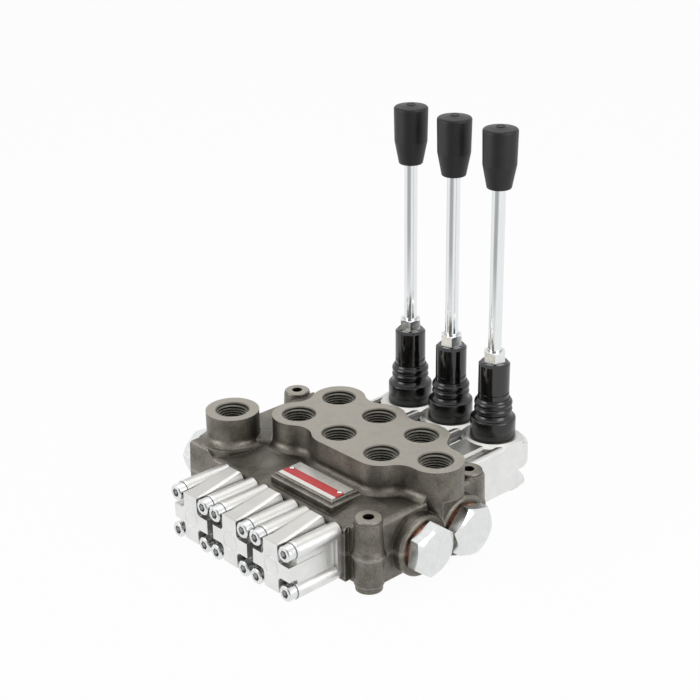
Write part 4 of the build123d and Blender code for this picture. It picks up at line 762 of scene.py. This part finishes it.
# ---------------------------------------------------------------- boots
def boot_shoulder(base, neck, skirt_top, shoulder_top):
    """Outline of the round shoulder and of the hollow slope above it."""
    points = []
    for k in range(SHOULDER_STEPS + 1):
        turn = radians(SHOULDER_TURN) * k / SHOULDER_STEPS
        points.append((base - SHOULDER_ROUND * (1 - cos(turn)), skirt_top + SHOULDER_ROUND * sin(turn)))
    start_radius, start_z = points[-1]
    for k in range(1, SHOULDER_STEPS + 1):
        share = k / SHOULDER_STEPS
        radius = start_radius + (neck - start_radius) * share ** HOLLOW_IN
        points.append((radius, start_z + (shoulder_top - start_z) * share ** HOLLOW_UP))
    return points


def boot_fold(neck, low, high):
    """Outline of one round fold."""
    points = []
    for k in range(1, FOLD_STEPS + 1):
        swell = sin(pi * k / FOLD_STEPS) ** FOLD_FULLNESS
        points.append((neck + FOLD_DEPTH * swell, low + (high - low) * k / FOLD_STEPS))
    return points


def boot_outline(base, height):
    """Section of a boot from its foot: skirt, shoulder, hollow, two folds, lip, and the inner wall."""
    neck = BOOT_GRIP + BOOT_NECK_WALL
    outer = [(base - BOOT_FOOT_EDGE, 0.0), (base, BOOT_FOOT_EDGE)]
    outer += boot_shoulder(base, neck, SKIRT_TOP * height, SHOULDER_TOP * height)
    outer += boot_fold(neck, SHOULDER_TOP * height, FOLD_SPLIT * height)
    outer += boot_fold(neck, FOLD_SPLIT * height, FOLD_TOP * height)
    lip = [
        (neck - LIP_SLOPE, LIP_FOOT * height),
        (neck - 2 * LIP_SLOPE, height - LIP_EDGE),
        (neck - 2 * LIP_SLOPE - LIP_EDGE, height),
        (BOOT_GRIP, height),
    ]
    inner = [(max(BOOT_GRIP, r - BOOT_WALL), z) for r, z in reversed(outer[2:])]
    return outer + lip + inner + [(base - BOOT_WALL, 0.0)]


def turned_piece(name, outline, place, material, sides):
    """An anticlockwise outline of radius and height turned round the vertical at a place."""
    count = len(outline)
    x, y, foot = place
    points = []
    faces = []
    for k in range(sides):
        angle = 2 * pi * k / sides
        points += [(x + r * cos(angle), y + r * sin(angle), foot + z) for r, z in outline]
        for i in range(count):
            here, after = k * count, (k + 1) % sides * count
            up = (i + 1) % count
            faces.append((here + i, after + i, after + up, here + up))
    mesh = mesh_of(name, points, faces)
    mesh.polygons.foreach_set("use_smooth", [True] * len(faces))
    mesh.materials.append(material)
    return link_object(name, mesh)


def add_boots(material):
    """Rubber bellows between the valve and each lever, in place of the imported boots."""
    for number in range(1, SECTIONS + 1):
        low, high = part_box(f"boot_{number}")
        x, y = (low.x + high.x) / 2, (low.y + high.y) / 2
        outline = boot_outline((high.x - low.x) / 2, high.z - low.z)
        bellows = turned_piece(f"bellows_{number}", outline, (x, y, low.z), material, BOOT_SIDES)
        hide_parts(f"boot_{number}")
        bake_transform(bellows)


# ---------------------------------------------------------------- moulding marks
def add_ejector_rings(material):
    """Round ejector marks on the faces of the spring caps."""
    places = []
    for number in range(1, SECTIONS + 1):
        low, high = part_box(f"spring_cap_{number}")
        spool_low, spool_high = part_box(f"spool_{number}")
        places.append(((low.x + high.x) / 2, low.y, (spool_low.z + spool_high.z) / 2))
    rings = make_piece(
        "ejector_rings", ring_tree(), places, material,
        Radius=EJECTOR_RADIUS, Wire=EJECTOR_WIRE, Tilt=(pi / 2, 0, 0),
    )
    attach(rings, "valve")


def add_knob_marks(material):
    """Plain moulded ring on top of each knob."""
    for number in range(1, SECTIONS + 1):
        low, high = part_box(f"knob_{number}")
        place = ((low.x + high.x) / 2, (low.y + high.y) / 2, high.z - KNOB_MARK_WIRE)
        mark = make_piece(
            f"knob_mark_{number}", ring_tree(), [place], material,
            Radius=KNOB_MARK_RADIUS, Wire=KNOB_MARK_WIRE, Tilt=(0, 0, 0),
        )
        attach(mark, f"lever_{number}")


# ---------------------------------------------------------------- stage, light and camera
def floor_glow(tree, path):
    """White of the floor, which mirrored surfaces see fall off on the dim side."""
    place = object_place(tree)
    length = tree.nodes.new("ShaderNodeVectorMath")
    length.operation = "LENGTH"
    tree.links.new(place, length.inputs[0])
    reach = length.outputs["Value"]
    heading = calculate(tree, "DIVIDE", dot_product(tree, place, DIM_SIDE), reach)
    dim = multiply(
        tree, ramp(tree, reach, *DIM_REACH), ramp(tree, heading, *DIM_FLOOR_SPAN),
        path.outputs["Is Glossy Ray"],
    )
    glow = tree.nodes.new("ShaderNodeEmission")
    tree.links.new(blend_colors(tree, dim, WHITE, DIM_FLOOR), glow.inputs["Color"])
    return glow.outputs["Emission"]


def add_floor():
    """Plain pale floor that shows as near white and keeps the valve's shadow."""
    material, tree, shader = new_material("pale_floor", Base_Color=FLOOR_PALE, Roughness=0.9)
    path = tree.nodes.new("ShaderNodeLightPath")
    seen = calculate(tree, "MAXIMUM", path.outputs["Is Camera Ray"], path.outputs["Is Glossy Ray"])
    look = tree.nodes.new("ShaderNodeMixShader")
    tree.links.new(multiply(tree, seen, FLOOR_GLOW), look.inputs["Fac"])
    tree.links.new(shader.outputs["BSDF"], look.inputs[1])
    tree.links.new(floor_glow(tree, path), look.inputs[2])
    tree.links.new(look.outputs[0], tree.nodes["Material Output"].inputs["Surface"])
    half = FLOOR_SIZE / 2
    corners = [(-half, -half, 0), (half, -half, 0), (half, half, 0), (-half, half, 0)]
    mesh = mesh_of("floor", corners, [(0, 1, 2, 3)])
    mesh.materials.append(material)
    floor = link_object("floor", mesh)


def add_world():
    """White surround for the camera and for reflections, with a dim gap between the side lamps.
    Matt surfaces receive a plain grey."""
    world = bpy.data.worlds.new("studio")
    bpy.context.scene.world = world
    world.use_nodes = True
    tree = world.node_tree
    path = tree.nodes.new("ShaderNodeLightPath")
    way = tree.nodes.new("ShaderNodeTexCoord").outputs["Generated"]
    gap = ramp(tree, dot_product(tree, way, DIM_SIDE), *DIM_WALL_SPAN)
    mirrored = blend_colors(tree, gap, WHITE, DIM_WALL)
    seen = calculate(tree, "MAXIMUM", path.outputs["Is Camera Ray"], path.outputs["Is Transmission Ray"])
    around = blend_colors(tree, path.outputs["Is Glossy Ray"], ROOM, mirrored)
    color = blend_colors(tree, seen, around, WHITE)
    tree.links.new(color, tree.nodes["Background"].inputs["Color"])


def add_lamp(name, place, target, size, power):
    """Square soft lamp aimed at a point."""
    lamp = bpy.data.lights.new(name, "AREA")
    lamp.size = size
    lamp.energy = power
    holder = link_object(name, lamp)
    holder.location = place
    holder.rotation_euler = (target - Vector(place)).to_track_quat("-Z", "Y").to_euler()


def add_lamps():
    """A large lamp overhead and two smaller, stronger ones at the sides."""
    low, high = cad_box
    target = Vector(((low.x + high.x) / 2, (low.y + high.y) / 2, LAMP_TARGET_Z))
    add_lamp("top_lamp", place=(-0.1, 0.2, 1.1), target=target, size=0.9, power=2.5)
    add_lamp("left_lamp", place=(-0.45, -1.1, 0.35), target=target, size=0.7, power=6.5)
    add_lamp("right_lamp", place=(1.1, 0.1, 0.5), target=target, size=0.7, power=5.5)


def add_camera():
    """Camera at its own place and turn."""
    azimuth = radians(CAMERA_AZIMUTH)
    elevation = radians(CAMERA_ELEVATION)
    back = Vector((sin(azimuth) * cos(elevation), -cos(azimuth) * cos(elevation), sin(elevation)))
    right = Vector((cos(azimuth), sin(azimuth), 0))
    turn = Matrix((right, back.cross(right), back)).transposed().to_4x4()
    roll = Matrix.Rotation(radians(CAMERA_ROLL), 4, "Z")
    lens = bpy.data.cameras.new("camera")
    lens.lens = CAMERA_LENS
    lens.sensor_width = CAMERA_SENSOR
    lens.clip_start = 0.01
    lens.clip_end = 20.0
    camera = link_object("camera", lens)
    camera.matrix_world = Matrix.Translation(CAMERA_PLACE) @ turn @ roll
    bpy.context.scene.camera = camera


# ---------------------------------------------------------------- build
bpy.context.scene.view_settings.view_transform = "Standard"
port_face_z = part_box("valve_body")[1].z
spool_low, spool_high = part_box("spool_1")
finishes = {
    "casting": cast_iron(port_face_z, port_face_z - LUG_DROP, (spool_low.z + spool_high.z) / 2),
    "die_cast": die_casting(),
    "zinc_steel": zinc_plate(),
    "chrome": chrome_plate(),
    "black_steel": blackened_steel(),
    "rubber": moulded_rubber(),
    "knob_plastic": knob_plastic(),
    "copper": copper(),
    "bright_steel": plain_steel("ground_steel", GROUND_DARK, GROUND_LIGHT, smoothest=0.20, roughest=0.34),
    "spring_steel": plain_steel("spring_wire", WIRE_DARK, WIRE_LIGHT, smoothest=0.30, roughest=0.44),
    "plate": printed_plate(),
}
paint_parts(finishes)
add_port_threads(cut_thread(port_face_z))
add_boots(finishes["rubber"])
add_ejector_rings(finishes["die_cast"])
add_knob_marks(finishes["knob_plastic"])
add_floor()
add_world()
add_lamps()
add_camera()
